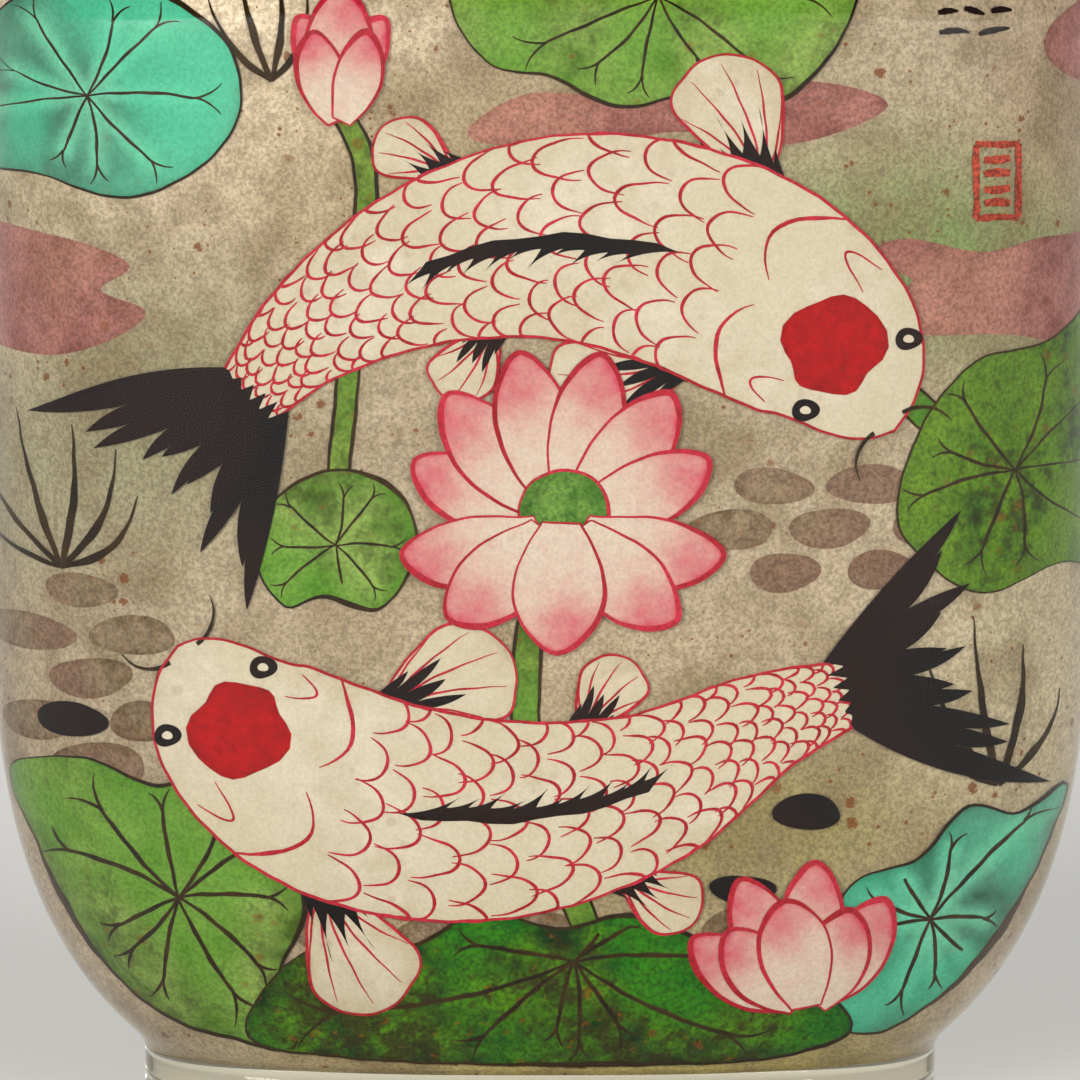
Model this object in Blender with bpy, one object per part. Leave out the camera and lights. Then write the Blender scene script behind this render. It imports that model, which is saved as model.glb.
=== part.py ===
"""A hollow glass snuff bottle on an oval foot ring, with a lift-off stopper in its neck.

Metres, +Z up. The origin is the middle of the foot's underside. The front looks along -Y,
and the body is wide along X and shallow along Y.
"""

import math
from collections import namedtuple

import bmesh
import bpy

# Body
BODY_WIDTH = 0.0520
BODY_DEPTH = 0.0280
BELLY_BOTTOM = 0.0278  # the sides stand straight from this height
BELLY_TOP = 0.0520  # up to this one
SHOULDER_HEIGHT = 0.0150
PLAN_SQUARENESS = 2.8  # 2 is an oval in plan, and more is squarer
LOWER_SQUARENESS = 2.9
SHOULDER_SQUARENESS = 2.5

# Walls
SIDE_WALL = 0.0026
FACE_WALL = 0.0024
LOWER_WALL = 0.0021
SHOULDER_WALL = 0.0030
FLOOR_WALL = 0.0032  # glass between the recess under the foot and the cavity
FLOOR_CORNER = 0.0014  # rounding where the cavity's wall meets its floor

# Foot ring
FOOT_WIDTH = 0.0378
FOOT_DEPTH = 0.0208
FOOT_HEIGHT = 0.0044
FOOT_BLEND = 0.0008  # half the height of the hollow curve between body and foot
FOOT_RING = 0.0026  # width of the ring that the bottle stands on
FOOT_RECESS = 0.0012
FOOT_EDGE = 0.0005

# Neck
NECK_DIAMETER = 0.0124
BORE_DIAMETER = 0.0070
NECK_HEIGHT = 0.0060
NECK_BLEND = 0.0014
LIP_EDGE = 0.0005
BORE_BLEND = 0.0010

# Stopper
REST_GAP = 0.0003  # left between pieces that rest on or fill one another
COLLAR_OVERHANG = 0.0002  # how far the collar stands out past the neck
COLLAR_HEIGHT = 0.0014
COLLAR_EDGE = 0.0004
CAP_SETBACK = 0.0007  # ring of the collar that shows around the cap
CAP_RIM = 0.0012  # upright band under the cap's dome
CAP_DOME = 0.0072
CAP_SQUARENESS = 2.2
CROWN_SHARE = 0.02  # the dome's small flat top, as a share of the cap
CORK_LENGTH = 0.0062
CORK_TAPER = 0.0002

# Facets
AROUND = 48
AROUND_STOPPER = 32
CURVE_ROWS = 9
BLEND_ROWS = 3
SHARP_ANGLE = math.radians(40)

SHOULDER_TOP = BELLY_TOP + SHOULDER_HEIGHT
LIP_HEIGHT = SHOULDER_TOP + NECK_HEIGHT
NECK_RADIUS = NECK_DIAMETER / 2
BORE_RADIUS = BORE_DIAMETER / 2

Station = namedtuple("Station", "half_width half_depth squareness z")


def material(name, colour, roughness, transmission=0.0):
    """A Principled material of one colour."""
    made = bpy.data.materials.new(name)
    made.use_nodes = True
    shader = made.node_tree.nodes["Principled BSDF"]
    shader.inputs["Base Color"].default_value = (*colour, 1.0)
    shader.inputs["Roughness"].default_value = roughness
    shader.inputs["Metallic"].default_value = 0.0
    shader.inputs["Transmission Weight"].default_value = transmission
    made.diffuse_color = (*colour, 1.0)
    return made


def section(station, around):
    """The points of one level section: a superellipse, which is round where squareness is 2."""
    share = 2 / station.squareness
    points = []
    for step in range(around):
        angle = math.tau * step / around
        across, along = math.cos(angle), math.sin(angle)
        x = math.copysign(abs(across) ** share, across) * station.half_width
        y = math.copysign(abs(along) ** share, along) * station.half_depth
        points.append((x, y, station.z))
    return points


def loft(name, stations, around, finish):
    """A closed solid through level sections, closed at both ends by a point on its axis."""
    mesh = bpy.data.meshes.new(name)
    shape = bmesh.new()
    first_pole = shape.verts.new((0, 0, stations[0].z))
    rings = [[shape.verts.new(point) for point in section(s, around)] for s in stations]
    last_pole = shape.verts.new((0, 0, stations[-1].z))
    for step in range(around):
        after = (step + 1) % around
        shape.faces.new((first_pole, rings[0][step], rings[0][after]))
        for low, high in zip(rings, rings[1:]):
            shape.faces.new((low[step], high[step], high[after], low[after]))
        shape.faces.new((last_pole, rings[-1][after], rings[-1][step]))
    bmesh.ops.recalc_face_normals(shape, faces=shape.faces)
    shape.to_mesh(mesh)
    shape.free()
    mesh.shade_smooth()
    mesh.set_sharp_from_angle(angle=SHARP_ANGLE)
    mesh.materials.append(finish)
    solid = bpy.data.objects.new(name, mesh)
    bpy.context.scene.collection.objects.link(solid)
    return solid


def blend(start, corner, end):
    """Stations on a smooth curve from start to end that heads for corner, both ends included."""
    made = []
    for row in range(BLEND_ROWS + 1):
        t = row / BLEND_ROWS
        weights = ((1 - t) ** 2, 2 * t * (1 - t), t * t)
        sizes = zip(start, corner, end)
        made.append(Station(*(sum(w * s for w, s in zip(weights, size)) for size in sizes)))
    return made


def disc(radius, z):
    """A round station."""
    return Station(radius, radius, 2.0, z)


def curve_height(foot, belly):
    """The height of the lower body's full curve, which meets the foot's edge at the foot's top."""
    share = (1 - (foot / belly) ** LOWER_SQUARENESS) ** (1 / LOWER_SQUARENESS)
    return (BELLY_BOTTOM - FOOT_HEIGHT) / share


WIDTH_CURVE = curve_height(FOOT_WIDTH, BODY_WIDTH)
DEPTH_CURVE = curve_height(FOOT_DEPTH, BODY_DEPTH)


def lower_share(z, height):
    """How wide a lower curve of this full height is at z, as a share of the belly."""
    drop = (BELLY_BOTTOM - z) / height
    return (1 - drop**LOWER_SQUARENESS) ** (1 / LOWER_SQUARENESS)


def outer_low(z):
    """The outside of the lower body at a height."""
    half_width = BODY_WIDTH / 2 * lower_share(z, WIDTH_CURVE)
    half_depth = BODY_DEPTH / 2 * lower_share(z, DEPTH_CURVE)
    return Station(half_width, half_depth, PLAN_SQUARENESS, z)


def inner_low(z):
    """The cavity's wall in the lower body at a height."""
    half_width = (BODY_WIDTH / 2 - SIDE_WALL) * lower_share(z, WIDTH_CURVE - LOWER_WALL)
    half_depth = (BODY_DEPTH / 2 - FACE_WALL) * lower_share(z, DEPTH_CURVE - LOWER_WALL)
    return Station(half_width, half_depth, PLAN_SQUARENESS, z)


def lower_heights(bottom):
    """Heights from bottom up to the straight sides, closer together where the curve turns more."""
    share = 2 / LOWER_SQUARENESS
    lowest = math.asin(((BELLY_BOTTOM - bottom) / WIDTH_CURVE) ** (1 / share))
    angles = [lowest * (1 - row / CURVE_ROWS) for row in range(CURVE_ROWS + 1)]
    return [BELLY_BOTTOM - WIDTH_CURVE * math.sin(angle) ** share for angle in angles]


def shoulder(half_width, half_depth, neck_radius, height):
    """Stations from the straight sides up and in to a round level edge of neck_radius."""
    share = 2 / SHOULDER_SQUARENESS
    made = []
    for row in range(CURVE_ROWS + 1):
        angle = math.pi / 2 * row / CURVE_ROWS
        outward = max(0.0, math.cos(angle)) ** share
        made.append(
            Station(
                neck_radius + (half_width - neck_radius) * outward,
                neck_radius + (half_depth - neck_radius) * outward,
                2 + (PLAN_SQUARENESS - 2) * outward,
                BELLY_TOP + height * math.sin(angle) ** share,
            )
        )
    return made


def foot_inset(amount, z):
    """The foot's plan, drawn in by an amount all round."""
    return Station(FOOT_WIDTH / 2 - amount, FOOT_DEPTH / 2 - amount, PLAN_SQUARENESS, z)


def foot_stations():
    """The recess under the foot, the flat ring that it stands on, and the start of its side."""
    return [
        foot_inset(FOOT_RING + FOOT_RECESS / 2, FOOT_RECESS),
        foot_inset(FOOT_RING, 0.0),
        *blend(foot_inset(FOOT_EDGE, 0.0), foot_inset(0.0, 0.0), foot_inset(0.0, FOOT_EDGE)),
    ]


def outside_stations():
    """The outside of the glass, from the recess under the foot up to the lip."""
    lower = [outer_low(z) for z in lower_heights(FOOT_HEIGHT + FOOT_BLEND)]
    foot_top = foot_inset(0.0, FOOT_HEIGHT - FOOT_BLEND)
    upper = shoulder(BODY_WIDTH / 2, BODY_DEPTH / 2, NECK_RADIUS + NECK_BLEND, SHOULDER_HEIGHT)
    neck_corner = disc(NECK_RADIUS, SHOULDER_TOP)
    neck_start = disc(NECK_RADIUS, SHOULDER_TOP + NECK_BLEND)
    lip = blend(
        disc(NECK_RADIUS, LIP_HEIGHT - LIP_EDGE),
        disc(NECK_RADIUS, LIP_HEIGHT),
        disc(NECK_RADIUS - LIP_EDGE, LIP_HEIGHT),
    )
    return [
        *foot_stations(),
        *blend(foot_top, outer_low(FOOT_HEIGHT), lower[0])[:-1],
        *lower,
        *upper[:-1],
        *blend(upper[-1], neck_corner, neck_start),
        *lip,
    ]


def inside_stations():
    """The bore and the cavity, from the lip down to the floor."""
    ceiling = SHOULDER_TOP - SHOULDER_WALL
    floor = FOOT_RECESS + FLOOR_WALL
    lip = blend(
        disc(BORE_RADIUS + LIP_EDGE, LIP_HEIGHT),
        disc(BORE_RADIUS, LIP_HEIGHT),
        disc(BORE_RADIUS, LIP_HEIGHT - LIP_EDGE),
    )
    upper = shoulder(
        BODY_WIDTH / 2 - SIDE_WALL,
        BODY_DEPTH / 2 - FACE_WALL,
        BORE_RADIUS + BORE_BLEND,
        SHOULDER_HEIGHT - SHOULDER_WALL,
    )
    bore_end = disc(BORE_RADIUS, ceiling + BORE_BLEND)
    lower = [inner_low(z) for z in lower_heights(floor + FLOOR_CORNER)]
    corner = inner_low(floor)
    floor_edge = corner._replace(
        half_width=corner.half_width - FLOOR_CORNER, half_depth=corner.half_depth - FLOOR_CORNER
    )
    return [
        *lip,
        *blend(bore_end, disc(BORE_RADIUS, ceiling), upper[-1])[:-1],
        *reversed(upper),
        *reversed(lower[1:-1]),
        *blend(lower[0], corner, floor_edge),
    ]


def bottle():
    """The glass bottle, open at its lip."""
    glass = material("clear_glass", (0.86, 0.85, 0.74), 0.05, transmission=0.9)
    return loft("bottle", outside_stations() + inside_stations(), AROUND, glass)


def cork():
    """The plug in the bore, a little narrower at its tip."""
    radius = BORE_RADIUS - REST_GAP
    stations = [disc(radius - CORK_TAPER, LIP_HEIGHT - CORK_LENGTH), disc(radius, LIP_HEIGHT)]
    return loft("stopper_cork", stations, AROUND_STOPPER, material("cork", (0.55, 0.38, 0.22), 0.9))


def collar():
    """The disc that lies over the lip."""
    radius = NECK_RADIUS + COLLAR_OVERHANG
    inner = radius - COLLAR_EDGE
    bottom = LIP_HEIGHT + REST_GAP
    top = bottom + COLLAR_HEIGHT
    stations = [
        *blend(disc(inner, bottom), disc(radius, bottom), disc(radius, bottom + COLLAR_EDGE)),
        *blend(disc(radius, top - COLLAR_EDGE), disc(radius, top), disc(inner, top)),
    ]
    dark = material("dark_collar", (0.05, 0.035, 0.03), 0.3)
    return loft("stopper_collar", stations, AROUND_STOPPER, dark)


def cap():
    """The dome on the collar."""
    radius = NECK_RADIUS + COLLAR_OVERHANG - CAP_SETBACK
    bottom = LIP_HEIGHT + REST_GAP + COLLAR_HEIGHT + REST_GAP
    share = 2 / CAP_SQUARENESS
    stations = [disc(radius, bottom)]
    for row in range(CURVE_ROWS):
        angle = math.pi / 2 * row / CURVE_ROWS
        rise = CAP_RIM + CAP_DOME * math.sin(angle) ** share
        stations.append(disc(radius * math.cos(angle) ** share, bottom + rise))
    stations.append(disc(radius * CROWN_SHARE, bottom + CAP_RIM + CAP_DOME))
    green = material("green_glass", (0.05, 0.30, 0.14), 0.15)
    return loft("stopper_cap", stations, AROUND_STOPPER, green)


def main():
    """Clears the scene and builds the bottle and its stopper."""
    for old in list(bpy.data.objects):
        bpy.data.objects.remove(old)
    bottle()
    cork()
    collar()
    cap()


main()
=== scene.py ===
"""Dresses the snuff bottle: clear glass with a picture on its inside wall, and a stopper.

Sizes are in millimetres and become metres where a mesh is made. Places in the picture are read
as the front shows them: across from the centre line, and up from the top of the foot.
"""

from __future__ import annotations

import logging
import math
from collections.abc import Callable, Sequence
from dataclasses import dataclass, field
from enum import Enum
from pathlib import Path as FilePath

import bmesh
import bpy
import numpy as np
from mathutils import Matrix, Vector
from mathutils.geometry import delaunay_2d_cdt


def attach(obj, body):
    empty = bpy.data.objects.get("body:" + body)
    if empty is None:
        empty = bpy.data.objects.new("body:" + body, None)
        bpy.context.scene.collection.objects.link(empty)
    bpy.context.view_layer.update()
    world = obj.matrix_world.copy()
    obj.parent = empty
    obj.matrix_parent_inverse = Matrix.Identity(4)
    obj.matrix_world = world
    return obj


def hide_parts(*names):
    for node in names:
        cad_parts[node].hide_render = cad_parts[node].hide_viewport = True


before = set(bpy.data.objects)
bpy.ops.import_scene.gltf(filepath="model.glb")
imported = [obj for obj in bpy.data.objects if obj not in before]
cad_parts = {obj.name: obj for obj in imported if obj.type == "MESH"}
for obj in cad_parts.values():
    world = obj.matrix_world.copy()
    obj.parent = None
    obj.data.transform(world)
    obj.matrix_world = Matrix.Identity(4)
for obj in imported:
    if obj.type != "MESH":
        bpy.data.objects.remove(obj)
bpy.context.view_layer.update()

log = logging.getLogger("snuff_bottle")

MM = 0.001
TILT = math.radians(12)  # how far the eye looks down on the bottle
EYE_DISTANCE = 450.0
VIEW_WIDTH = 51.2  # how much of the bottle's plane the picture's width takes in
VIEW_MIDDLE = 28.0  # the height that the eye looks at

Point = tuple[float, float]
Tone = Callable[[np.ndarray, np.ndarray], np.ndarray]


# Colour and nodes


def linear(code: str) -> tuple[float, float, float, float]:
    """Turns an sRGB hex colour to linear.

    Args:
        code: a colour such as "#c0ffee".
    Returns:
        Red, green, blue and an alpha of 1.
    """
    parts = [int(code[at : at + 2], 16) / 255 for at in (1, 3, 5)]
    flat = [p / 12.92 if p <= 0.04045 else ((p + 0.055) / 1.055) ** 2.4 for p in parts]
    return (*flat, 1.0)


GLASS_IOR = 1.47
GLASS_TINT = "#f4eed6"
KEY_LIGHT = 1.15  # how bright a white sheet in front of the bottle is
VEIL = 0.024  # how much of the pale floor the glass itself gives back


def behind_glass(code: str) -> tuple[float, float, float, float]:
    """The colour that paint has in the open, from the colour that it shows through glass.

    Args:
        code: the sRGB colour that is seen.
    Returns:
        The linear colour for the paint's own shader.
    """
    pairs = zip(linear(code)[:3], linear(GLASS_TINT))
    open_air = [max(0.0, part - VEIL) / (KEY_LIGHT * math.sqrt(tint)) for part, tint in pairs]
    return (*(min(0.95, part) for part in open_air), 1.0)


def add(
    tree: bpy.types.NodeTree, kind: str, links: dict[str, object], **settings: object
) -> bpy.types.Node:
    """Adds one node.

    Args:
        tree: the node tree.
        kind: the node's type name.
        links: what each input takes, by the input's name or identifier: a socket or a value.
        **settings: the node's own properties.
    Returns:
        The node.
    """
    node = tree.nodes.new(kind)
    for name, value in settings.items():
        setattr(node, name, value)
    for name, value in links.items():
        by_identifier = [s for s in node.inputs if s.identifier == name]
        socket = by_identifier[0] if by_identifier else node.inputs[name]
        if isinstance(value, bpy.types.NodeSocket):
            tree.links.new(value, socket)
        else:
            socket.default_value = value
    return node


def start_material(name: str) -> tuple[bpy.types.Material, bpy.types.NodeTree, bpy.types.Node]:
    """Starts a node material with its Principled shader and no pattern.

    Args:
        name: the material's name.
    Returns:
        The material, its node tree and its shader.
    """
    material = bpy.data.materials.new(name)
    material.use_nodes = True
    tree = material.node_tree
    return material, tree, tree.nodes["Principled BSDF"]


def mixed(tree: bpy.types.NodeTree, share: object, first: object, second: object) -> object:
    """The socket of the colour between two, of which share comes from the second."""
    links = {"Factor_Float": share, "A_Color": first, "B_Color": second}
    return add(tree, "ShaderNodeMix", links, data_type="RGBA").outputs[2]


# Finishes


@dataclass
class Tooth:
    """The frosted wall's tooth, which breaks the paint on it into grain, stains and rust specks."""

    tree: bpy.types.NodeTree
    GRAIN_MM = 0.19  # the coarsest grain; the next is half as coarse, and nearly as strong
    STAIN_MM = 0.9
    CLUSTER_MM = 6.0  # how far apart the stains and specks gather
    GATHERED = (0.42, 0.52)  # the cluster's values between which specks set in
    SPECK_EDGE = (1.02, 1.14)  # how soft a speck's edge is, as shares of the largest one

    def __post_init__(self) -> None:
        """Adds the noises that every pattern on the wall shares."""
        self.spot = add(self.tree, "ShaderNodeTexCoord", {}).outputs["Object"]
        self.grain = self.noise(self.GRAIN_MM, 1.0, 0.9)
        self.cluster = self.noise(self.CLUSTER_MM, 0.0, 0.5)

    def noise(self, size_mm: float, detail: float, roughness: float) -> object:
        """Adds a cloudy noise about one half, and detail finer ones of a strength that roughness gives."""
        links = {"Vector": self.spot, "Scale": 1 / (size_mm * MM), "Detail": detail, "Roughness": roughness}
        return add(self.tree, "ShaderNodeTexNoise", links).outputs["Fac"]

    def between(self, value: object, low: float, high: float, reach: float, start: float = 0.0) -> object:
        """A value that climbs from start at low to reach at high."""
        links = {"Value": value, "From Min": low, "From Max": high, "To Min": start, "To Max": reach}
        return add(self.tree, "ShaderNodeMapRange", links).outputs["Result"]

    def grained(self, colour: object, strength: float) -> object:
        """A colour that the tooth makes lighter and darker."""
        level = self.between(self.grain, 0.36, 0.64, 1 + strength, 1 - strength)
        return add(self.tree, "ShaderNodeHueSaturation", {"Color": colour, "Value": level}).outputs["Color"]

    def sum(self, first: object, factor: float, second: object, use_clamp: bool = False) -> object:
        """Adds two values.

        Args:
            first: a value or socket.
            factor: how many times the first counts.
            second: a value or socket.
            use_clamp: keeps the sum between 0 and 1.
        Returns:
            The sum's socket.
        """
        links = {"Value": first, "Value_001": factor, "Value_002": second}
        how = {"operation": "MULTIPLY_ADD", "use_clamp": use_clamp}
        return add(self.tree, "ShaderNodeMath", links, **how).outputs[0]

    def shifted(self, value: object, noise: object, amount: float) -> object:
        """A value moved up and down by a noise, and kept between 0 and 1."""
        return self.sum(noise, 4 * amount, self.sum(value, 1.0, -2 * amount), use_clamp=True)

    def times(self, first: object, second: object) -> object:
        """One value times another."""
        links = {"Value": first, "Value_001": second}
        return add(self.tree, "ShaderNodeMath", links, operation="MULTIPLY").outputs[0]

    def stained(self, colour: object, strength: float) -> object:
        """Dark soft stains over a colour, gathered in patches.

        Args:
            colour: the colour under the stains.
            strength: how much of the stains' colour they have.
        Returns:
            The stained colour's socket.
        """
        blots = self.noise(self.STAIN_MM, 2.0, 0.8)
        share = self.between(self.sum(self.cluster, 0.7, blots), 0.88, 1.06, strength)
        return mixed(self.tree, share, colour, behind_glass("#40380f"))

    def specked(self, colour: object, cell_mm: float, largest_mm: float, strength: float) -> object:
        """Rust specks of uneven size and ragged edge, gathered in patches.

        Args:
            colour: the colour under the specks.
            cell_mm: how far apart they lie at the closest.
            largest_mm: the largest one's radius.
            strength: how much of the rust's colour they have.
        Returns:
            The specked colour's socket.
        """
        tree, largest = self.tree, largest_mm / cell_mm
        cells = add(tree, "ShaderNodeTexVoronoi", {"Vector": self.spot, "Scale": 1 / (cell_mm * MM)})
        parts = add(tree, "ShaderNodeSeparateColor", {"Color": cells.outputs["Color"]}).outputs
        size = self.between(self.times(parts["Red"], parts["Green"]), 0.02, 0.85, largest)
        reach = self.sum(self.grain, 2 * largest, size)
        distance = self.sum(cells.outputs["Distance"], -1.0, reach)
        spots = self.between(distance, *(edge * largest for edge in self.SPECK_EDGE), strength)
        share = self.times(spots, self.between(self.cluster, *self.GATHERED, 1.0))
        return mixed(tree, share, colour, behind_glass("#7a4824"))


@dataclass(frozen=True)
class Paint:
    """Watercolour or ink, laid with a fine bent brush on the ground inside wall.

    It pools into darker blotches, and the wall's frosted tooth shows through it.
    """

    name: str
    thin: str
    deep: str
    accent: str = ""
    accent_share: float = 0.0
    blotch_mm: float = 1.6
    bloom: float = 0.25
    grain: float = 0.35
    stain: float = 0.0
    speck: float = 0.5

    def material(self) -> bpy.types.Material:
        """Makes the paint's material, whose depth comes from the mesh.

        Returns:
            The material.
        """
        material, tree, shader = start_material(self.name)
        tooth = Tooth(tree)
        tone = add(tree, "ShaderNodeAttribute", {}, attribute_name="tone").outputs["Fac"]
        bloomed = tooth.shifted(tone, tooth.noise(self.blotch_mm, 2.0, 0.7), self.bloom)
        colour = mixed(tree, bloomed, behind_glass(self.thin), behind_glass(self.deep))
        if self.accent:
            veil = tooth.between(tooth.cluster, 0.56, 0.40, self.accent_share)
            colour = mixed(tree, veil, colour, behind_glass(self.accent))
        if self.stain:
            colour = tooth.stained(colour, self.stain)
        if self.speck:
            colour = tooth.specked(colour, 0.75, 0.3, self.speck)
        tree.links.new(tooth.grained(colour, self.grain), shader.inputs["Base Color"])
        shader.inputs["Roughness"].default_value = 0.85
        shader.inputs["Specular IOR Level"].default_value = 0.0
        return material


class Finish(Enum):
    """The paints in the picture."""

    OLIVE = Paint("olive_leaf_wash", "#88a254", "#4a6c26", "#629639", 0.6, 2.4, 0.5, 0.2, 0.45)
    GREEN = Paint("deep_green_wash", "#527d28", "#113f07", "#16720e", 0.6, 2.0, 0.7, 0.4, 0.8, 0.6)
    MOSS = Paint("moss_green_wash", "#62852f", "#2c4c13", "#708e3a", 0.5, 1.8, 0.55, 0.3, 0.65, 0.6)
    TEAL = Paint("teal_wash", "#7cd5ae", "#30463a", "#52c79a", 0.6, 2.0, 0.14, 0.1, 0.10, 0.15)
    STEM = Paint("stem_green_wash", "#7f9846", "#466a24", "#568836", 0.5, 1.2, 0.4, 0.2, 0.4)
    PETAL = Paint("lotus_pink_wash", "#d7c5af", "#c92b52", "", 0.0, 0.7, 0.12, 0.07, 0.0, 0.0)
    POD = Paint("seed_pod_green", "#6f9347", "#38642a", "", 0.0, 1.0, 0.5, 0.3, 0.3)
    WHITE = Paint("white_gouache", "#dacdb4", "#b8a787", "#cec1a4", 0.6, 1.8, 0.34, 0.06, 0.0, 0.2)
    VERMILION = Paint("vermilion_cap", "#b60806", "#820404", "", 0.0, 0.7, 0.45, 0.15, 0.0, 0.0)
    INK = Paint("black_ink", "#2e2825", "#2a2623", "#3c2e24", 0.4, 1.2, 0.4, 0.15, 0.0, 0.0)
    BROWN_INK = Paint("brown_ink", "#4a3c2c", "#241b13", "", 0.0, 0.9, 0.3, 0.2, 0.0, 0.0)
    CRIMSON = Paint("crimson_line", "#c23c4a", "#921428", "", 0.0, 0.8, 0.3, 0.2, 0.0, 0.0)
    PEBBLE = Paint("pebble_wash", "#937f66", "#6b5740", "#826656", 0.7, 1.0, 0.55, 0.28, 0.2)
    ROSE = Paint("rose_wash", "#b27b70", "#8c5a52", "#ad7f6a", 0.5, 3.0, 0.8, 0.26, 0.15)
    SEAL = Paint("seal_red", "#b5503f", "#94402f", "", 0.0, 0.5, 0.4, 0.5, 0.0, 0.0)


@dataclass(frozen=True)
class FrostedGround:
    """The primed inside wall: ground glass under thin washes of earth colours, flecked with rust."""

    def material(self) -> bpy.types.Material:
        """Makes the ground's material, whose washes are painted on its mesh.

        Returns:
            The material.
        """
        material, tree, shader = start_material("frosted_ground")
        tooth = Tooth(tree)
        colour = add(tree, "ShaderNodeAttribute", {}, attribute_name="wash").outputs["Color"]
        cloud = tooth.between(tooth.noise(3.6, 1.0, 0.6), 0.44, 0.68, 0.6)
        colour = mixed(tree, cloud, colour, behind_glass("#847255"))
        mottled = tooth.between(tooth.noise(0.8, 1.0, 0.8), 0.44, 0.68, 0.35)
        colour = mixed(tree, mottled, colour, behind_glass("#8a785e"))
        colour = tooth.grained(colour, 0.24)
        for cell, largest in ((1.1, 0.3), (0.42, 0.11)):
            colour = tooth.specked(colour, cell, largest, 0.85)
        tree.links.new(colour, shader.inputs["Base Color"])
        shader.inputs["Roughness"].default_value = 0.9
        shader.inputs["Specular IOR Level"].default_value = 0.0
        return material


@dataclass(frozen=True)
class ClearGlass:
    """Blown and polished clear glass with a faint warm cast, see-through and glossy."""

    def material(self) -> bpy.types.Material:
        """Makes the glass, by plain values alone.

        Returns:
            The material.
        """
        material, _, shader = start_material("clear_glass")
        shader.inputs["Base Color"].default_value = linear(GLASS_TINT)
        shader.inputs["Roughness"].default_value = 0.0
        shader.inputs["IOR"].default_value = GLASS_IOR
        shader.inputs["Transmission Weight"].default_value = 1.0
        return material


@dataclass(frozen=True)
class GreenGlass:
    """Opaque green glass made to look like jade: cloudy swirls under a wet polish."""

    def material(self) -> bpy.types.Material:
        """Makes the cap's glass.

        Returns:
            The material.
        """
        material, tree, shader = start_material("green_glass")
        spot = add(tree, "ShaderNodeTexCoord", {}).outputs["Object"]
        swirl = {"Vector": spot, "Scale": 1 / (4.5 * MM), "Detail": 5.0, "Distortion": 1.2}
        cloud = add(tree, "ShaderNodeTexNoise", swirl).outputs["Fac"]
        limits = {"Value": cloud, "From Min": 0.35, "From Max": 0.68}
        share = add(tree, "ShaderNodeMapRange", limits).outputs["Result"]
        colour = mixed(tree, share, linear("#0f5a30"), linear("#5f9f68"))
        tree.links.new(colour, shader.inputs["Base Color"])
        shader.inputs["Roughness"].default_value = 0.08
        shader.inputs["IOR"].default_value = 1.5
        shader.inputs["Subsurface Weight"].default_value = 0.2
        shader.inputs["Subsurface Radius"].default_value = (0.4 * MM, 0.9 * MM, 0.5 * MM)
        shader.inputs["Subsurface Scale"].default_value = 1.0
        return material


@dataclass(frozen=True)
class DarkHorn:
    """Polished dark horn: near black, with faint brown streaks along its grain."""

    def material(self) -> bpy.types.Material:
        """Makes the collar's horn.

        Returns:
            The material.
        """
        material, tree, shader = start_material("dark_horn")
        spot = add(tree, "ShaderNodeTexCoord", {}).outputs["Object"]
        stretch = add(tree, "ShaderNodeMapping", {"Vector": spot, "Scale": (1.0, 5.0, 5.0)})
        streaks = {"Vector": stretch.outputs["Vector"], "Scale": 1 / (2.2 * MM), "Detail": 4.0}
        cloud = add(tree, "ShaderNodeTexNoise", streaks).outputs["Fac"]
        colour = mixed(tree, cloud, linear("#120d0b"), linear("#3a281d"))
        tree.links.new(colour, shader.inputs["Base Color"])
        shader.inputs["Roughness"].default_value = 0.25
        return material


@dataclass(frozen=True)
class Cork:
    """Cut cork: warm brown grains with dark pits."""

    def material(self) -> bpy.types.Material:
        """Makes the plug's cork.

        Returns:
            The material.
        """
        material, tree, shader = start_material("cork")
        spot = add(tree, "ShaderNodeTexCoord", {}).outputs["Object"]
        grain = {"Vector": spot, "Scale": 1 / (0.9 * MM), "Detail": 5.0}
        cloud = add(tree, "ShaderNodeTexNoise", grain).outputs["Fac"]
        colour = mixed(tree, cloud, linear("#a9794a"), linear("#d2a878"))
        pits = add(tree, "ShaderNodeTexVoronoi", {"Vector": spot, "Scale": 1 / (0.8 * MM)})
        limits = {"From Min": 0.10, "From Max": 0.22, "To Min": 0.8, "To Max": 0.0}
        near = {"Value": pits.outputs["Distance"], **limits}
        share = add(tree, "ShaderNodeMapRange", near).outputs["Result"]
        colour = mixed(tree, share, colour, linear("#5a3820"))
        tree.links.new(colour, shader.inputs["Base Color"])
        shader.inputs["Roughness"].default_value = 0.9
        dents = {"Height": share, "Strength": 0.6, "Distance": 0.15 * MM}
        dented = add(tree, "ShaderNodeBump", dents, invert=True)
        tree.links.new(dented.outputs["Normal"], shader.inputs["Normal"])
        return material


# Curves


KNOT_STEPS = 24  # how many points a curve has between two knots before it is spaced
BOW_STEPS = 40
OVAL_STEPS = 32


def spaced(path: np.ndarray, spacing: float) -> np.ndarray:
    """Points at even steps along a path.

    Args:
        path: the path's points.
        spacing: about how far apart.
    Returns:
        The new points, both ends included.
    """
    steps = np.linalg.norm(np.diff(path, axis=0), axis=1)
    along = np.concatenate(([0.0], np.cumsum(steps)))
    marks = np.linspace(0, along[-1], max(3, round(along[-1] / spacing) + 1))
    return np.column_stack([np.interp(marks, along, path[:, axis]) for axis in (0, 1)])


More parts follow.
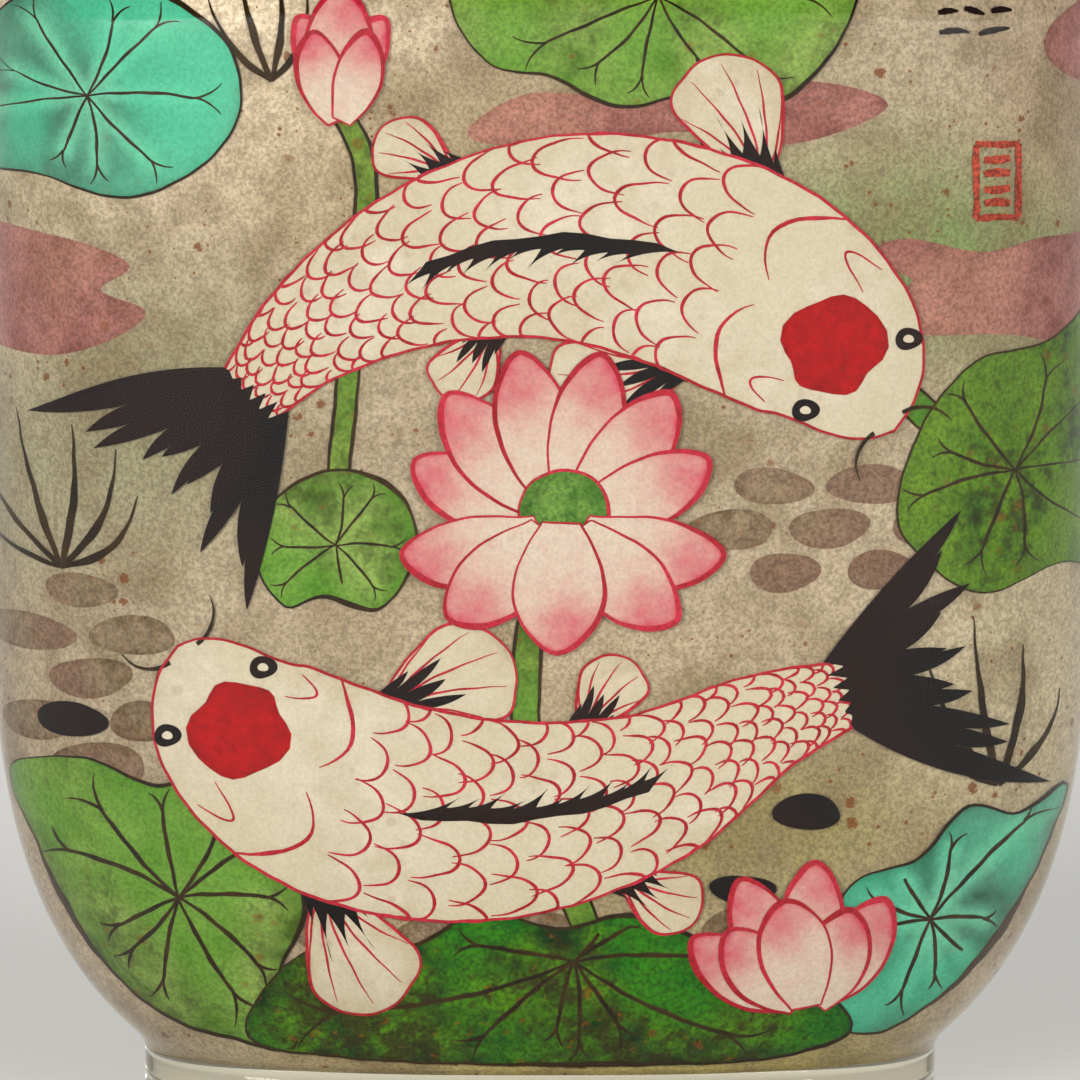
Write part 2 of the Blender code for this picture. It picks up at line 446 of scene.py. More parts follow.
def curve(points: Sequence[Point], closed: bool = False, spacing: float = 0.25) -> np.ndarray:
    """A smooth curve through points.

    Args:
        points: the points that it passes.
        closed: joins the last point to the first.
        spacing: how far apart the new points are.
    Returns:
        The curve's points. A closed one doesn't repeat its first.
    """
    knots = np.array(points, float)
    if closed:
        knots = np.vstack((knots[-1], knots, knots[:2]))
    else:
        knots = np.vstack((2 * knots[0] - knots[1], knots, 2 * knots[-1] - knots[-2]))
    t = np.linspace(0, 1, KNOT_STEPS, endpoint=False)[:, None]
    stretches = []
    for before, start, end, after in zip(knots, knots[1:], knots[2:], knots[3:]):
        bend = 2 * before - 5 * start + 4 * end - after
        twist = 3 * start - before - 3 * end + after
        stretches.append(0.5 * (2 * start + (end - before) * t + bend * t**2 + twist * t**3))
    path = spaced(np.vstack((*stretches, knots[-2])), spacing)
    return path[:-1] if closed else path


def sideways(path: np.ndarray) -> np.ndarray:
    """The unit direction to the left of a path at each of its points.

    Args:
        path: the path's points.
    Returns:
        One direction for each.
    """
    ahead = np.gradient(path, axis=0)
    ahead /= np.maximum(np.linalg.norm(ahead, axis=1, keepdims=True), 1e-9)
    return np.column_stack((-ahead[:, 1], ahead[:, 0]))


def unsteady(path: np.ndarray, amount: float, hand: float) -> np.ndarray:
    """A path as a hand draws it, a little off to either side.

    Args:
        path: the path's points.
        amount: how far off, in millimetres.
        hand: a number that makes each line its own.
    Returns:
        The moved points.
    """
    steps = np.linalg.norm(np.diff(path, axis=0), axis=1)
    along = np.concatenate(([0.0], np.cumsum(steps)))
    shift = np.sin(along * 1.9 + hand * 7.1) * 0.6 + np.sin(along * 4.3 + hand * 3.7) * 0.4
    return path + sideways(path) * (shift * amount)[:, None]


def distance_to(points: np.ndarray, path: np.ndarray) -> np.ndarray:
    """How far each point is from a path's nearest point."""
    gaps = points[:, None, :] - path[None, :, :]
    return np.sqrt((gaps**2).sum(axis=2).min(axis=1))


def within(points: np.ndarray, outline: np.ndarray) -> np.ndarray:
    """Whether each point lies inside a closed outline.

    Args:
        points: the points.
        outline: the outline's points.
    Returns:
        True or False for each.
    """
    x, y = points[:, :1], points[:, 1:]
    x0, y0 = outline[:, 0], outline[:, 1]
    x1, y1 = np.roll(x0, -1), np.roll(y0, -1)
    crosses = (y0 > y) != (y1 > y)
    rise = np.where(y1 == y0, 1e-12, y1 - y0)
    at = x0 + (y - y0) / rise * (x1 - x0)
    return (crosses & (x < at)).sum(axis=1) % 2 == 1


# The bottle


@dataclass(frozen=True)
class Sections:
    """Level sections of the glass: superellipses, one for each height."""

    half_width: np.ndarray
    half_depth: np.ndarray
    squareness: np.ndarray

    def points(self, angles: np.ndarray) -> tuple[np.ndarray, np.ndarray]:
        """The sections' points on the bottle's front half and beyond.

        Args:
            angles: turns from straight ahead, round by the right.
        Returns:
            The points' X and Y.
        """
        share = 2 / self.squareness
        across, along = np.sin(angles), np.cos(angles)
        x = self.half_width * np.copysign(np.abs(across) ** share, across)
        y = -self.half_depth * np.copysign(np.abs(along) ** share, along)
        return x, y


@dataclass
class GlassBottle:
    """The hollow bottle: foot ring, belly, shoulders and neck in one piece of glass."""

    width: float = 52.0
    depth: float = 28.0
    belly_bottom: float = 27.8
    belly_top: float = 52.0
    shoulder: float = 15.0
    plan_squareness: float = 2.8
    lower_squareness: float = 2.9
    shoulder_squareness: float = 2.5
    side_wall: float = 2.6
    face_wall: float = 2.4
    lower_wall: float = 2.1
    shoulder_wall: float = 3.0
    floor_wall: float = 3.2
    floor_corner: float = 1.4
    foot_width: float = 37.8
    foot_depth: float = 20.8
    foot_height: float = 4.4
    foot_blend: float = 0.8
    foot_ring: float = 2.6
    foot_recess: float = 1.2
    foot_edge: float = 0.5
    neck_diameter: float = 12.4
    bore_diameter: float = 7.0
    neck_height: float = 6.0
    neck_blend: float = 1.4
    lip_edge: float = 0.5
    bore_blend: float = 1.0
    around: int = 160
    curve_rows: int = 28
    blend_rows: int = 8
    STEEPEST = 0.985  # how far down its full curve the lower body is followed at most

    @property
    def floor(self) -> float:
        """The height of the cavity's floor."""
        return self.foot_recess + self.floor_wall

    @property
    def ceiling(self) -> float:
        """The height where the cavity meets the bore."""
        return self.belly_top + self.shoulder - self.shoulder_wall

    @property
    def lip(self) -> float:
        """The height of the neck's top."""
        return self.belly_top + self.shoulder + self.neck_height

    def curve_height(self, foot: float, belly: float) -> float:
        """The height of the lower body's full curve, from its foot and belly widths."""
        power = self.lower_squareness
        return (self.belly_bottom - self.foot_height) / (1 - (foot / belly) ** power) ** (1 / power)

    def sections(self, heights: np.ndarray, inside: bool) -> Sections:
        """The body's level sections between the foot and the neck.

        Args:
            heights: the heights, in millimetres.
            inside: the cavity's wall and not the outside.
        Returns:
            One section for each height.
        """
        heights = np.asarray(heights, float)
        power, top = self.lower_squareness, 2 / self.shoulder_squareness
        half_width = self.width / 2 - (self.side_wall if inside else 0)
        half_depth = self.depth / 2 - (self.face_wall if inside else 0)
        wall = self.lower_wall if inside else 0
        bore, neck = self.bore_diameter / 2 + self.bore_blend, self.neck_diameter / 2 + self.neck_blend
        edge = bore if inside else neck
        rise = self.shoulder - (self.shoulder_wall if inside else 0)
        drop = np.maximum(self.belly_bottom - heights, 0)

        def lower(foot: float, belly: float) -> np.ndarray:
            """How wide the lower curve is at each height, as a share of the belly."""
            reach = self.curve_height(foot, belly) - wall
            return (1 - np.minimum(drop / reach, self.STEEPEST) ** power) ** (1 / power)

        climbed = np.clip((heights - self.belly_top) / rise, 0, 1) ** (1 / top)
        outward = np.sqrt(np.maximum(1 - climbed**2, 0)) ** top
        return Sections(
            edge + (half_width * lower(self.foot_width, self.width) - edge) * outward,
            edge + (half_depth * lower(self.foot_depth, self.depth) - edge) * outward,
            2 + (self.plan_squareness - 2) * outward,
        )

    def ring(self, height: float, inside: bool) -> Ring:
        """One level section as a ring for the loft."""
        section = self.sections(np.array([height]), inside)
        return Ring(section.half_width[0], section.half_depth[0], section.squareness[0], height)

    def heights(self, bottom: float, rise: float) -> list[float]:
        """Heights from the body's bottom to its top, closer where its outline turns more.

        Args:
            bottom: the lowest height.
            rise: how far the shoulder rises.
        Returns:
            The heights.
        """
        share = 2 / self.lower_squareness
        reach = self.curve_height(self.foot_width, self.width)
        lowest = math.asin(((self.belly_bottom - bottom) / reach) ** (1 / share))
        turns = np.linspace(1, 0, self.curve_rows + 1)
        lower = self.belly_bottom - reach * np.sin(lowest * turns) ** share
        middle = np.linspace(self.belly_bottom, self.belly_top, self.curve_rows // 2)[1:-1]
        quarter = np.sin(np.linspace(0, math.pi / 2, self.curve_rows + 1))
        upper = self.belly_top + rise * quarter ** (2 / self.shoulder_squareness)
        return [*lower, *middle, *upper]

    def foot_ring_at(self, inset: float, height: float) -> Ring:
        """The foot's plan, drawn in by an amount all round."""
        return Ring(self.foot_width / 2 - inset, self.foot_depth / 2 - inset, self.plan_squareness, height)

    def outside(self) -> list[Ring]:
        """The outside, from the recess under the foot up to the lip.

        Returns:
            Its rings.
        """
        heights = self.heights(self.foot_height + self.foot_blend, self.shoulder)
        body = [self.ring(height, False) for height in heights]
        foot_top = self.foot_ring_at(0, self.foot_height - self.foot_blend)
        recess_edge = self.foot_ring + self.foot_recess / 2
        neck, top, rows = self.neck_diameter / 2, self.belly_top + self.shoulder, self.blend_rows
        return [
            self.foot_ring_at(recess_edge + 4.0, self.foot_recess),
            *rounded(
                self.foot_ring_at(recess_edge + 0.8, self.foot_recess),
                self.foot_ring_at(recess_edge, self.foot_recess),
                self.foot_ring_at(self.foot_ring + 0.2, 0.3),
                rows,
            ),
            self.foot_ring_at(self.foot_ring, 0),
            *rounded(
                self.foot_ring_at(self.foot_edge, 0),
                self.foot_ring_at(0, 0),
                self.foot_ring_at(0, self.foot_edge),
                rows,
            ),
            *rounded(foot_top, self.ring(self.foot_height, False), body[0], rows)[:-1],
            *body[:-1],
            *rounded(body[-1], disc(neck, top), disc(neck, top + self.neck_blend), rows),
            *rounded(
                disc(neck, self.lip - self.lip_edge),
                disc(neck, self.lip),
                disc(neck - self.lip_edge, self.lip),
                rows,
            ),
        ]

    def inside(self) -> list[Ring]:
        """The bore and the cavity, from the lip down to the floor.

        Returns:
            Their rings.
        """
        bore, rows = self.bore_diameter / 2, self.blend_rows
        heights = self.heights(self.floor + self.floor_corner, self.shoulder - self.shoulder_wall)
        body = [self.ring(height, True) for height in heights]
        corner, bore_foot = self.ring(self.floor, True), disc(bore, self.ceiling)
        return [
            *rounded(
                disc(bore + self.lip_edge, self.lip),
                disc(bore, self.lip),
                disc(bore, self.lip - self.lip_edge),
                rows,
            ),
            *rounded(disc(bore, self.ceiling + self.bore_blend), bore_foot, body[-1], rows)[:-1],
            *reversed(body[1:]),
            *rounded(body[0], corner, corner.drawn_in(self.floor_corner), rows),
            corner.drawn_in(self.floor_corner + 3.0),
        ]

    def build(self) -> bpy.types.Object:
        """Builds the glass and dresses it.

        Returns:
            The bottle's piece.
        """
        glass = loft("bottle_glass", [*self.outside(), *self.inside()], self.around)
        # soft light reaches the paint straight, which keeps the render clean and quick
        glass.visible_diffuse = glass.visible_shadow = False
        return placed(glass, ClearGlass().material(), "clear_glass", "bottle")


@dataclass(frozen=True)
class Ring:
    """One level section of a loft."""

    half_width: float
    half_depth: float
    squareness: float
    height: float

    def drawn_in(self, amount: float) -> Ring:
        """The same ring, smaller all round."""
        return Ring(self.half_width - amount, self.half_depth - amount, self.squareness, self.height)


def disc(radius: float, height: float) -> Ring:
    """A round ring."""
    return Ring(radius, radius, 2.0, height)


def rounded(start: Ring, corner: Ring, end: Ring, rows: int) -> list[Ring]:
    """Rings on a smooth curve from start to end that heads for corner.

    Args:
        start: the first ring.
        corner: the ring that the curve rounds off.
        end: the last ring.
        rows: how many steps it takes.
    Returns:
        The rings, both ends included.
    """
    made = []
    for t in np.linspace(0, 1, rows + 1):
        weights = ((1 - t) ** 2, 2 * t * (1 - t), t * t)
        sizes = [
            sum(w * getattr(ring, name) for w, ring in zip(weights, (start, corner, end)))
            for name in ("half_width", "half_depth", "squareness", "height")
        ]
        made.append(Ring(*sizes))
    return made


def linked(name: str, data: bpy.types.ID) -> bpy.types.Object:
    """Puts a mesh, lamp or lens into the scene.

    Args:
        name: the object's name.
        data: what it holds.
    Returns:
        The object.
    """
    piece = bpy.data.objects.new(name, data)
    bpy.context.scene.collection.objects.link(piece)
    return piece


SHARP = math.radians(35)  # an edge that turns more than this stays crisp


def loft(name: str, rings: Sequence[Ring], around: int) -> bpy.types.Object:
    """A closed solid through level rings, with a point on the axis at each end.

    Args:
        name: the piece's name.
        rings: the rings, in order.
        around: how many points each ring has.
    Returns:
        The piece.
    """
    shape = bmesh.new()
    angles = np.linspace(0, math.tau, around, endpoint=False)
    loops = []
    for ring in rings:
        share = 2 / ring.squareness
        across, along = np.cos(angles), np.sin(angles)
        x = np.copysign(np.abs(across) ** share, across) * ring.half_width * MM
        y = np.copysign(np.abs(along) ** share, along) * ring.half_depth * MM
        loops.append([shape.verts.new((a, b, ring.height * MM)) for a, b in zip(x, y)])
    ends = [shape.verts.new((0, 0, ring.height * MM)) for ring in (rings[0], rings[-1])]
    for step in range(around):
        after = (step + 1) % around
        shape.faces.new((ends[0], loops[0][step], loops[0][after]))
        for low, high in zip(loops, loops[1:]):
            shape.faces.new((low[step], high[step], high[after], low[after]))
        shape.faces.new((ends[1], loops[-1][after], loops[-1][step]))
    bmesh.ops.recalc_face_normals(shape, faces=shape.faces)
    mesh = bpy.data.meshes.new(name)
    shape.to_mesh(mesh)
    shape.free()
    mesh.shade_smooth()
    mesh.set_sharp_from_angle(angle=SHARP)
    return linked(name, mesh)


def placed(
    piece: bpy.types.Object, material: bpy.types.Material | None, slot: str, *nodes: str
) -> bpy.types.Object:
    """Gives a piece its material and its place on the frame.

    Args:
        piece: the piece.
        material: its material, or None where its faces have theirs.
        slot: the record's material slot; not used.
        *nodes: the frame's nodes that it stands for.
    Returns:
        The piece.
    """
    if material:
        piece.data.materials.append(material)
    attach(piece, "root")
    if nodes:
        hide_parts(*nodes)
    log.info("%s: %d faces", piece.name, len(piece.data.polygons))
    return piece


# The wall as a painter's sheet


class Face(Enum):
    """The two broad sides of the bottle, by the sign of Y."""

    FRONT = -1
    BACK = 1


@dataclass
class InsideWall:
    """The cavity's wall, with places on it read as the eye sees them through the glass."""

    bottle: GlassBottle
    wrap: float = 0.2  # how much further round the thick glass at the sides lets the eye see
    WRAP_POWER = 15
    LINE = 3.4  # the height on the axis that the picture's measure up starts from
    SEEN_DEPTH = 0.34  # how far the glass seems to lift the wall, as a share of the glass
    SAMPLES = 4000
    ROUNDS = 6  # how often a place is worked out, each time from the last one's height
    MARGIN = 0.3  # how far the picture stays from the cavity's floor and from the bore
    WIDEST = 1.06  # the farthest across, as a share of the bottle's half width
    FARTHEST = 1.6  # the farthest round, in quarters

    def __post_init__(self) -> None:
        """Measures the way round a quarter of the wall."""
        angles = np.linspace(0, math.pi / 2, self.SAMPLES)
        x, y = self.bottle.sections(np.array([self.bottle.belly_top]), True).points(angles)
        steps = np.hypot(np.diff(x), np.diff(y))
        arc = np.concatenate(([0.0], np.cumsum(steps)))
        self.angles, self.shares = angles, arc / arc[-1]
        self.quarter_share = arc[-1] / x[-1]

    def place(self, points: np.ndarray, lift: float, face: Face) -> np.ndarray:
        """Lays points of the picture on the wall.

        Args:
            points: across and up, in millimetres, as the eye sees them.
            lift: how far in front of the wall, inside the glass.
            face: the side of the bottle.
        Returns:
            The places, in metres.
        """
        across, up = points[:, 0], points[:, 1]
        bottle = self.bottle
        height = self.LINE + up / math.cos(TILT)
        forward = np.zeros(len(points))
        for _ in range(self.ROUNDS):
            height = np.clip(height, bottle.floor, bottle.ceiling - self.MARGIN)
            nearer = 1 - (forward * math.cos(TILT) + (height - VIEW_MIDDLE) * math.sin(TILT)) / EYE_DISTANCE
            outer, inner = bottle.sections(height, False), bottle.sections(height, True)
            across = points[:, 0] * nearer
            reach = np.minimum(np.abs(across) / outer.half_width, 1.0)
            seen = inner.half_depth + self.SEEN_DEPTH * (outer.half_depth - inner.half_depth)
            forward = seen * (1 - reach**outer.squareness) ** (1 / outer.squareness)
            above = (up - (VIEW_MIDDLE - self.LINE) * math.cos(TILT)) * nearer
            height = VIEW_MIDDLE + (above + forward * math.sin(TILT)) / math.cos(TILT)
        height = np.clip(height, bottle.floor + self.MARGIN, bottle.ceiling - self.MARGIN)
        reach = np.minimum(np.abs(across) / outer.half_width, self.WIDEST)
        share = reach * outer.half_width / (inner.half_width * self.quarter_share)
        share = np.minimum(share + self.wrap * reach**self.WRAP_POWER, self.FARTHEST)
        angle = np.interp(np.minimum(share, 2 - share), self.shares, self.angles)
        behind = share > 1
        angle = np.where(behind, math.pi - angle, angle) * np.where(across < 0, -1, 1)
        raised = Sections(inner.half_width + lift, inner.half_depth + lift, inner.squareness)
        x, y = raised.points(angle)
        turn = -face.value
        return np.column_stack((x * turn, y * turn, height)) * MM


@dataclass(frozen=True)
class Wash:
    """One soft pool of earth colour in the ground."""

    across: float
    up: float
    wide: float
    tall: float
    colour: str
    strength: float


@dataclass
class Ground:
    """The primed film that covers the cavity's wall all round, under the picture."""

    wall: InsideWall
    lift: float = 0.02
    step: float = 0.55
    girth: float = 118.0  # about how far it is round the wall
    base: str = "#b7a58a"
    washes: tuple[Wash, ...] = (
        Wash(-20, 48, 14, 8, "#f0dab8", 0.95),
        Wash(-25, 40, 5, 12, "#dccba6", 0.6),
        Wash(-4, 40, 9, 5, "#a8946e", 0.7),
        Wash(8, 47, 8, 4, "#a89c7e", 0.7),
        Wash(2, 42, 8, 5, "#9b8869", 0.6),
        Wash(18, 37.5, 10, 5, "#7f8f5a", 1.0),
        Wash(24, 44, 4, 6, "#bfa184", 0.6),
        Wash(-17, 30, 6, 6, "#8c8866", 0.85),
        Wash(4, 31, 5, 7, "#94866a", 0.6),
        Wash(-22, 27, 6, 5, "#9a9878", 0.6),
        Wash(0, 19, 12, 4, "#b8a486", 0.7),
        Wash(-9, 15, 7, 4, "#ab9e82", 0.6),
        Wash(9, 11, 12, 4.5, "#8f854f", 0.85),
        Wash(22, 19, 5, 8, "#c2b492", 0.8),
        Wash(2, 2, 12, 4, "#a3924d", 0.8),
        Wash(10, -1, 18, 2.6, "#b8a865", 0.9),
    )

    def build(self) -> bpy.types.Object:
        """Builds the film and paints its washes.

        Returns:
            The ground's piece.
        """
        bottle = self.wall.bottle
        rows = np.arange(bottle.floor + 0.05, bottle.ceiling - 0.1, self.step)
        rows = np.append(rows, bottle.ceiling - 0.08)
        around = round(self.girth / self.step)
        turns = np.linspace(0, math.tau, around, endpoint=False)
        inner = bottle.sections(rows[:, None], True)
        raised = Sections(inner.half_width + self.lift, inner.half_depth + self.lift, inner.squareness)
        shares = turns / (math.pi / 2)
        within_quarter = np.abs((shares + 1) % 2 - 1)
        angles = np.interp(within_quarter, self.wall.shares, self.wall.angles)
        angles = np.where((shares > 1) & (shares < 3), math.pi - angles, angles)
        angles = angles * np.where(shares > 2, -1, 1)
        x, y = raised.points(angles[None, :])
        z = np.broadcast_to(rows[:, None], x.shape)
        spots = np.stack((x, y, z), axis=2).reshape(-1, 3)
        faces = []
        for row in range(len(rows) - 1):
            for step in range(around):
                after = (step + 1) % around
                low, high = row * around, (row + 1) * around
                faces.append((low + step, low + after, high + after, high + step))
        floor = len(spots)
        spots = np.vstack((spots, (0, 0, rows[0])))
        faces += [(floor, (step + 1) % around, step) for step in range(around)]
        mesh = bpy.data.meshes.new("frosted_ground")
        mesh.from_pydata(spots * MM, [], faces)
        mesh.shade_smooth()
        colours = self.colours(spots)
        layer = mesh.color_attributes.new("wash", "FLOAT_COLOR", "POINT")
        layer.data.foreach_set("color", colours.ravel())
        return placed(linked("painted_ground", mesh), FrostedGround().material(), "inside_paint")

    def colours(self, spots: np.ndarray) -> np.ndarray:
        """The ground's colour at each place, front and back alike.

        Args:
            spots: places in millimetres.
        Returns:
            A linear colour for each.
        """
        bottle = self.wall.bottle
        colours = np.tile(behind_glass(self.base), (len(spots), 1))
        across = spots[:, 0] * np.where(spots[:, 1] > 0, -1, 1)
        up = (spots[:, 2] - self.wall.LINE) * math.cos(TILT) - np.abs(spots[:, 1]) * math.sin(TILT)
        for wash in self.washes:
            away = ((across - wash.across) / wash.wide) ** 2 + ((up - wash.up) / wash.tall) ** 2
            share = (wash.strength * np.exp(-(away**1.2)))[:, None]
            colours = colours * (1 - share) + np.array(behind_glass(wash.colour)) * share
        return colours


# Brushwork


def step_at(across: np.ndarray | float) -> np.ndarray:
    """The longest step at a place across, finer where the wall turns away to the side."""
    return np.interp(np.abs(across), (20, 22, 24, 26), (0.5, 0.3, 0.14, 0.1))


def refined(path: np.ndarray) -> np.ndarray:
    """A path with points put in where its steps are too long for the wall's curve.

    Args:
        path: the path's points.
    Returns:
        The same points and those put in.
    """
    points = [path[:1]]
    for start, end in zip(path, path[1:]):
        parts = math.ceil(np.hypot(*(end - start)) / float(step_at((start[0] + end[0]) / 2)) + 1e-6)
        t = np.linspace(0, 1, parts + 1)[1:, None]
        points.append(start + (end - start) * t)
    return np.vstack(points)


@dataclass
class Film:
    """Paint on one side's wall that makes one piece: filled shapes and brush strokes."""

    name: str
    wall: InsideWall
    face: Face
    spots: list[np.ndarray] = field(default_factory=list)
    tones: list[np.ndarray] = field(default_factory=list)
    faces: list[tuple[int, ...]] = field(default_factory=list)
    finishes: list[Finish] = field(default_factory=list)
    count: int = 0
    strokes: int = 0
    LAYER = 0.014  # how far apart the coats lie
    FIRST = 0.04
    OVERLAP = 0.03  # how many coats each stroke lies above the last, so that crossing strokes don't meet
    TURNED = (22, 26)  # where lines thin out, as the wall turns away to the side
    BANDS = ((0, 20.5, 0.45), (20.5, 23, 0.25), (23, 28, 0.12))  # from, to, and the largest cell there
    ROW = 0.87  # how far apart a fill's rows of points are, in cells
    CLEAR = 0.5  # how near the rim a fill's point may lie, in cells
    PRESSURE = 0.10  # how much a stroke's width changes along it
    LOAD = 0.22  # how much its depth changes
    CYCLE = 9  # how many strokes lie on coats of their own before the coats repeat

    def lay(
        self,
        finish: Finish,
        points: np.ndarray,
        cells: Sequence[tuple[int, ...]],
        layer: float,
        tone: np.ndarray,
    ) -> None:
        """Adds one shape's cells to the film.

        Args:
            finish: the paint.
            points: the shape's points in the picture.
            cells: its faces, by its own points.
            layer: which coat it is.
            tone: how deep the paint is at each point.
        """
        spots = self.wall.place(points, self.FIRST + layer * self.LAYER, self.face)
        self.spots.append(spots)
        self.tones.append(np.broadcast_to(tone, (len(points),)))
        self.faces += [tuple(corner + self.count for corner in cell) for cell in cells]
        self.finishes += [finish] * len(cells)
        self.count += len(points)

    def fill(
        self,
        finish: Finish,
        outline: np.ndarray,
        layer: float,
        tone: Tone | float = 0.4,
        cell: float = 0.45,
    ) -> None:
        """Fills a closed outline.

        Args:
            finish: the paint.
            outline: the outline's points.
            layer: which coat it is.
            tone: the paint's depth, or what gives it from the places and their distance to the rim.
            cell: the size of the fill's cells.
        """
        outline = refined(np.vstack((outline, outline[:1])))[:-1]
        low, high = outline.min(axis=0), outline.max(axis=0)
        points = [outline]
        for start, end, finest in self.BANDS:
            size = min(cell, finest)
            columns = np.arange(low[0], high[0] + size, size)
            rows = np.arange(low[1], high[1] + size, size * self.ROW)
            grid = np.array([(x + (k % 2) * size / 2, y) for k, y in enumerate(rows) for x in columns])
            grid = grid[(np.abs(grid[:, 0]) >= start) & (np.abs(grid[:, 0]) < end)]
            grid = grid[within(grid, outline)]
            if len(grid):
                points.append(grid[distance_to(grid, outline) > size * self.CLEAR])
        points = np.vstack(points)
        ring = list(range(len(outline)))
        edges = list(zip(ring, ring[1:] + ring[:1]))
        made = delaunay_2d_cdt([Vector(p) for p in points], edges, [ring], 1, 1e-5)
        places = np.array([tuple(v) for v in made[0]])
        rim = distance_to(places, outline)
        depth = tone(places, rim) if callable(tone) else np.full(len(places), tone)
        self.lay(finish, places, [tuple(f) for f in made[2]], layer, depth)

    def stroke(
        self,
        finish: Finish,
        path: np.ndarray,
        widths: Sequence[float],
        layer: float,
        tone: float = 0.4,
        shake: float = 0.03,
    ) -> None:
        """Lays one brush stroke.

        Args:
            finish: the paint.
            path: the stroke's middle.
            widths: its widths, from its start to its end.
            layer: which coat it is.
            tone: the paint's depth.
            shake: how unsteady the hand is.
        """
        self.strokes += 1
        path = refined(unsteady(path, shake, self.strokes))
        t = np.linspace(0, 1, len(path))
        width = np.interp(t, np.linspace(0, 1, len(widths)), widths)
        width = width * (1 + self.PRESSURE * np.sin(t * 19 + self.strokes * 2.3))
        width = width * np.interp(np.abs(path[:, 0]), self.TURNED, (1, 0.25))
        side = sideways(path)
        lanes = math.ceil(max(widths) / step_at(np.abs(path[:, 0]).max()))
        offsets = np.linspace(0.5, -0.5, lanes + 1)
        points = np.concatenate([path + side * (width * offset)[:, None] for offset in offsets])
        steps, cells = len(path), []
        for lane in range(lanes):
            for step in range(steps - 1):
                left, right = lane * steps + step, (lane + 1) * steps + step
                cells.append((left, right, right + 1, left + 1))
        load = tone + self.LOAD * np.sin(t * 6 + self.strokes * 1.3)
        coat = layer + self.OVERLAP * (self.strokes % self.CYCLE)
        self.lay(finish, points, cells, coat, np.tile(load, lanes + 1))

    def make(self) -> bpy.types.Object:
        """Makes the film's piece.

        Returns:
            The piece, with one material for each paint.
        """
        mesh = bpy.data.meshes.new(self.name)
        mesh.from_pydata(np.vstack(self.spots), [], self.faces)
        mesh.shade_smooth()
        used = list(dict.fromkeys(self.finishes))
        for finish in used:
            mesh.materials.append(paint_of(finish))
        mesh.polygons.foreach_set("material_index", [used.index(finish) for finish in self.finishes])
        layer = mesh.attributes.new("tone", "FLOAT", "POINT")
        layer.data.foreach_set("value", np.concatenate(self.tones).astype(np.float32))
        return placed(linked(self.name, mesh), None, "inside_paint")


MIXED_PAINTS: dict[Finish, bpy.types.Material] = {}


def paint_of(finish: Finish) -> bpy.types.Material:
    """The material of a paint, made once.

    Args:
        finish: the paint.
    Returns:
        Its material.
    """
    if finish not in MIXED_PAINTS:
        MIXED_PAINTS[finish] = finish.value.material()
    return MIXED_PAINTS[finish]


def inside(path: np.ndarray, outline: np.ndarray) -> np.ndarray:
    """The part of a path from its start to where it leaves an outline."""
    return path[np.cumprod(within(path, outline)).astype(bool)]


def aimed(start: Point, degrees: float, length: float) -> Point:
    """The point at a distance and direction from a start."""
    angle = math.radians(degrees)
    return (start[0] + length * math.cos(angle), start[1] + length * math.sin(angle))


def bowed(start: Point, end: Point, bow: float, spacing: float = 0.25) -> np.ndarray:
    """A curved line between two points.

    Args:
        start: where it starts.
        end: where it ends.
        bow: how far it swells to its left, as a share of its length.
        spacing: how far apart its points are.
    Returns:
        The line's points.
    """
    first, last = np.array(start), np.array(end)
    run = last - first
    left = np.array((-run[1], run[0]))
    t = np.linspace(0, 1, BOW_STEPS)[:, None]
    return spaced(first + run * t + left * bow * 4 * t * (1 - t), spacing)


def oval(middle: Point, wide: float, tall: float, number: int) -> np.ndarray:
    """An uneven oval's outline.

    Args:
        middle: its middle.
        wide: half its width.
        tall: half its height.
        number: what makes it unlike the next.
    Returns:
        The outline's points.
    """
    turns = np.linspace(0, math.tau, OVAL_STEPS, endpoint=False)
    swell = 1 + 0.07 * np.sin(2 * turns + number) + 0.05 * np.sin(3 * turns + number * 1.7)
    rim = np.column_stack((wide * swell * np.cos(turns), tall * swell * np.sin(turns)))
    return np.array(middle) + rim


def fringed(base: np.ndarray, tips: Sequence[Point], depth: float) -> np.ndarray:
    """The outline of a shape with one plain edge and pointed fingers along the other.

    Args:
        base: the plain edge, from the first finger to the last.
        tips: the fingers' tips.
        depth: how far the gaps between them reach back to the plain edge.
    Returns:
        The outline's points.
    """
    base, tips = spaced(base, 0.15), np.array(tips)
    feet = base[np.linspace(0, len(base) - 1, len(tips) + 1).astype(int)]
    gaps = feet[1:-1] * depth + (tips[1:] + tips[:-1]) / 2 * (1 - depth)
    valleys = np.vstack((base[:1], gaps, base[-1:]))
    sides = [bowed(tuple(a), tuple(b), -0.07)[:-1] for a, b in zip(valleys, tips)]
    backs = [bowed(tuple(b), tuple(c), -0.03)[:-1] for b, c in zip(tips, valleys[1:])]
    return np.vstack((*(part for pair in zip(sides, backs) for part in pair), base[::-1][:-1]))


def pooled(base: float, rim_share: float, reach: float) -> Tone:
    """The depth of a wash that is deeper by rim_share at its rim, within about reach millimetres."""
    return lambda places, rim: base + rim_share * np.exp(-rim / reach)


@dataclass
class Motif:
    """One thing in the picture: what outline it has and on which coat it lies."""

    outline: Sequence[Point]
    layer: float
    UNEVEN = (0.8, 0.6, 1.4, 0.8, 2.0, 0.8, 1.1, 0.6, 2.2, 0.9, 0.6, 0.8)  # a drawn rim's widths

    def edge(self, spacing: float = 0.3) -> np.ndarray:
        """The outline as a smooth closed curve."""
        return curve(self.outline, closed=True, spacing=spacing)

    def line_round(self, film: Film, finish: Finish, edge: np.ndarray, width: float, layer: float) -> None:
        """Draws a line of uneven width round an outline."""
        widths = [width * share for share in self.UNEVEN]
        film.stroke(finish, np.vstack((edge, edge[:2])), widths, layer)


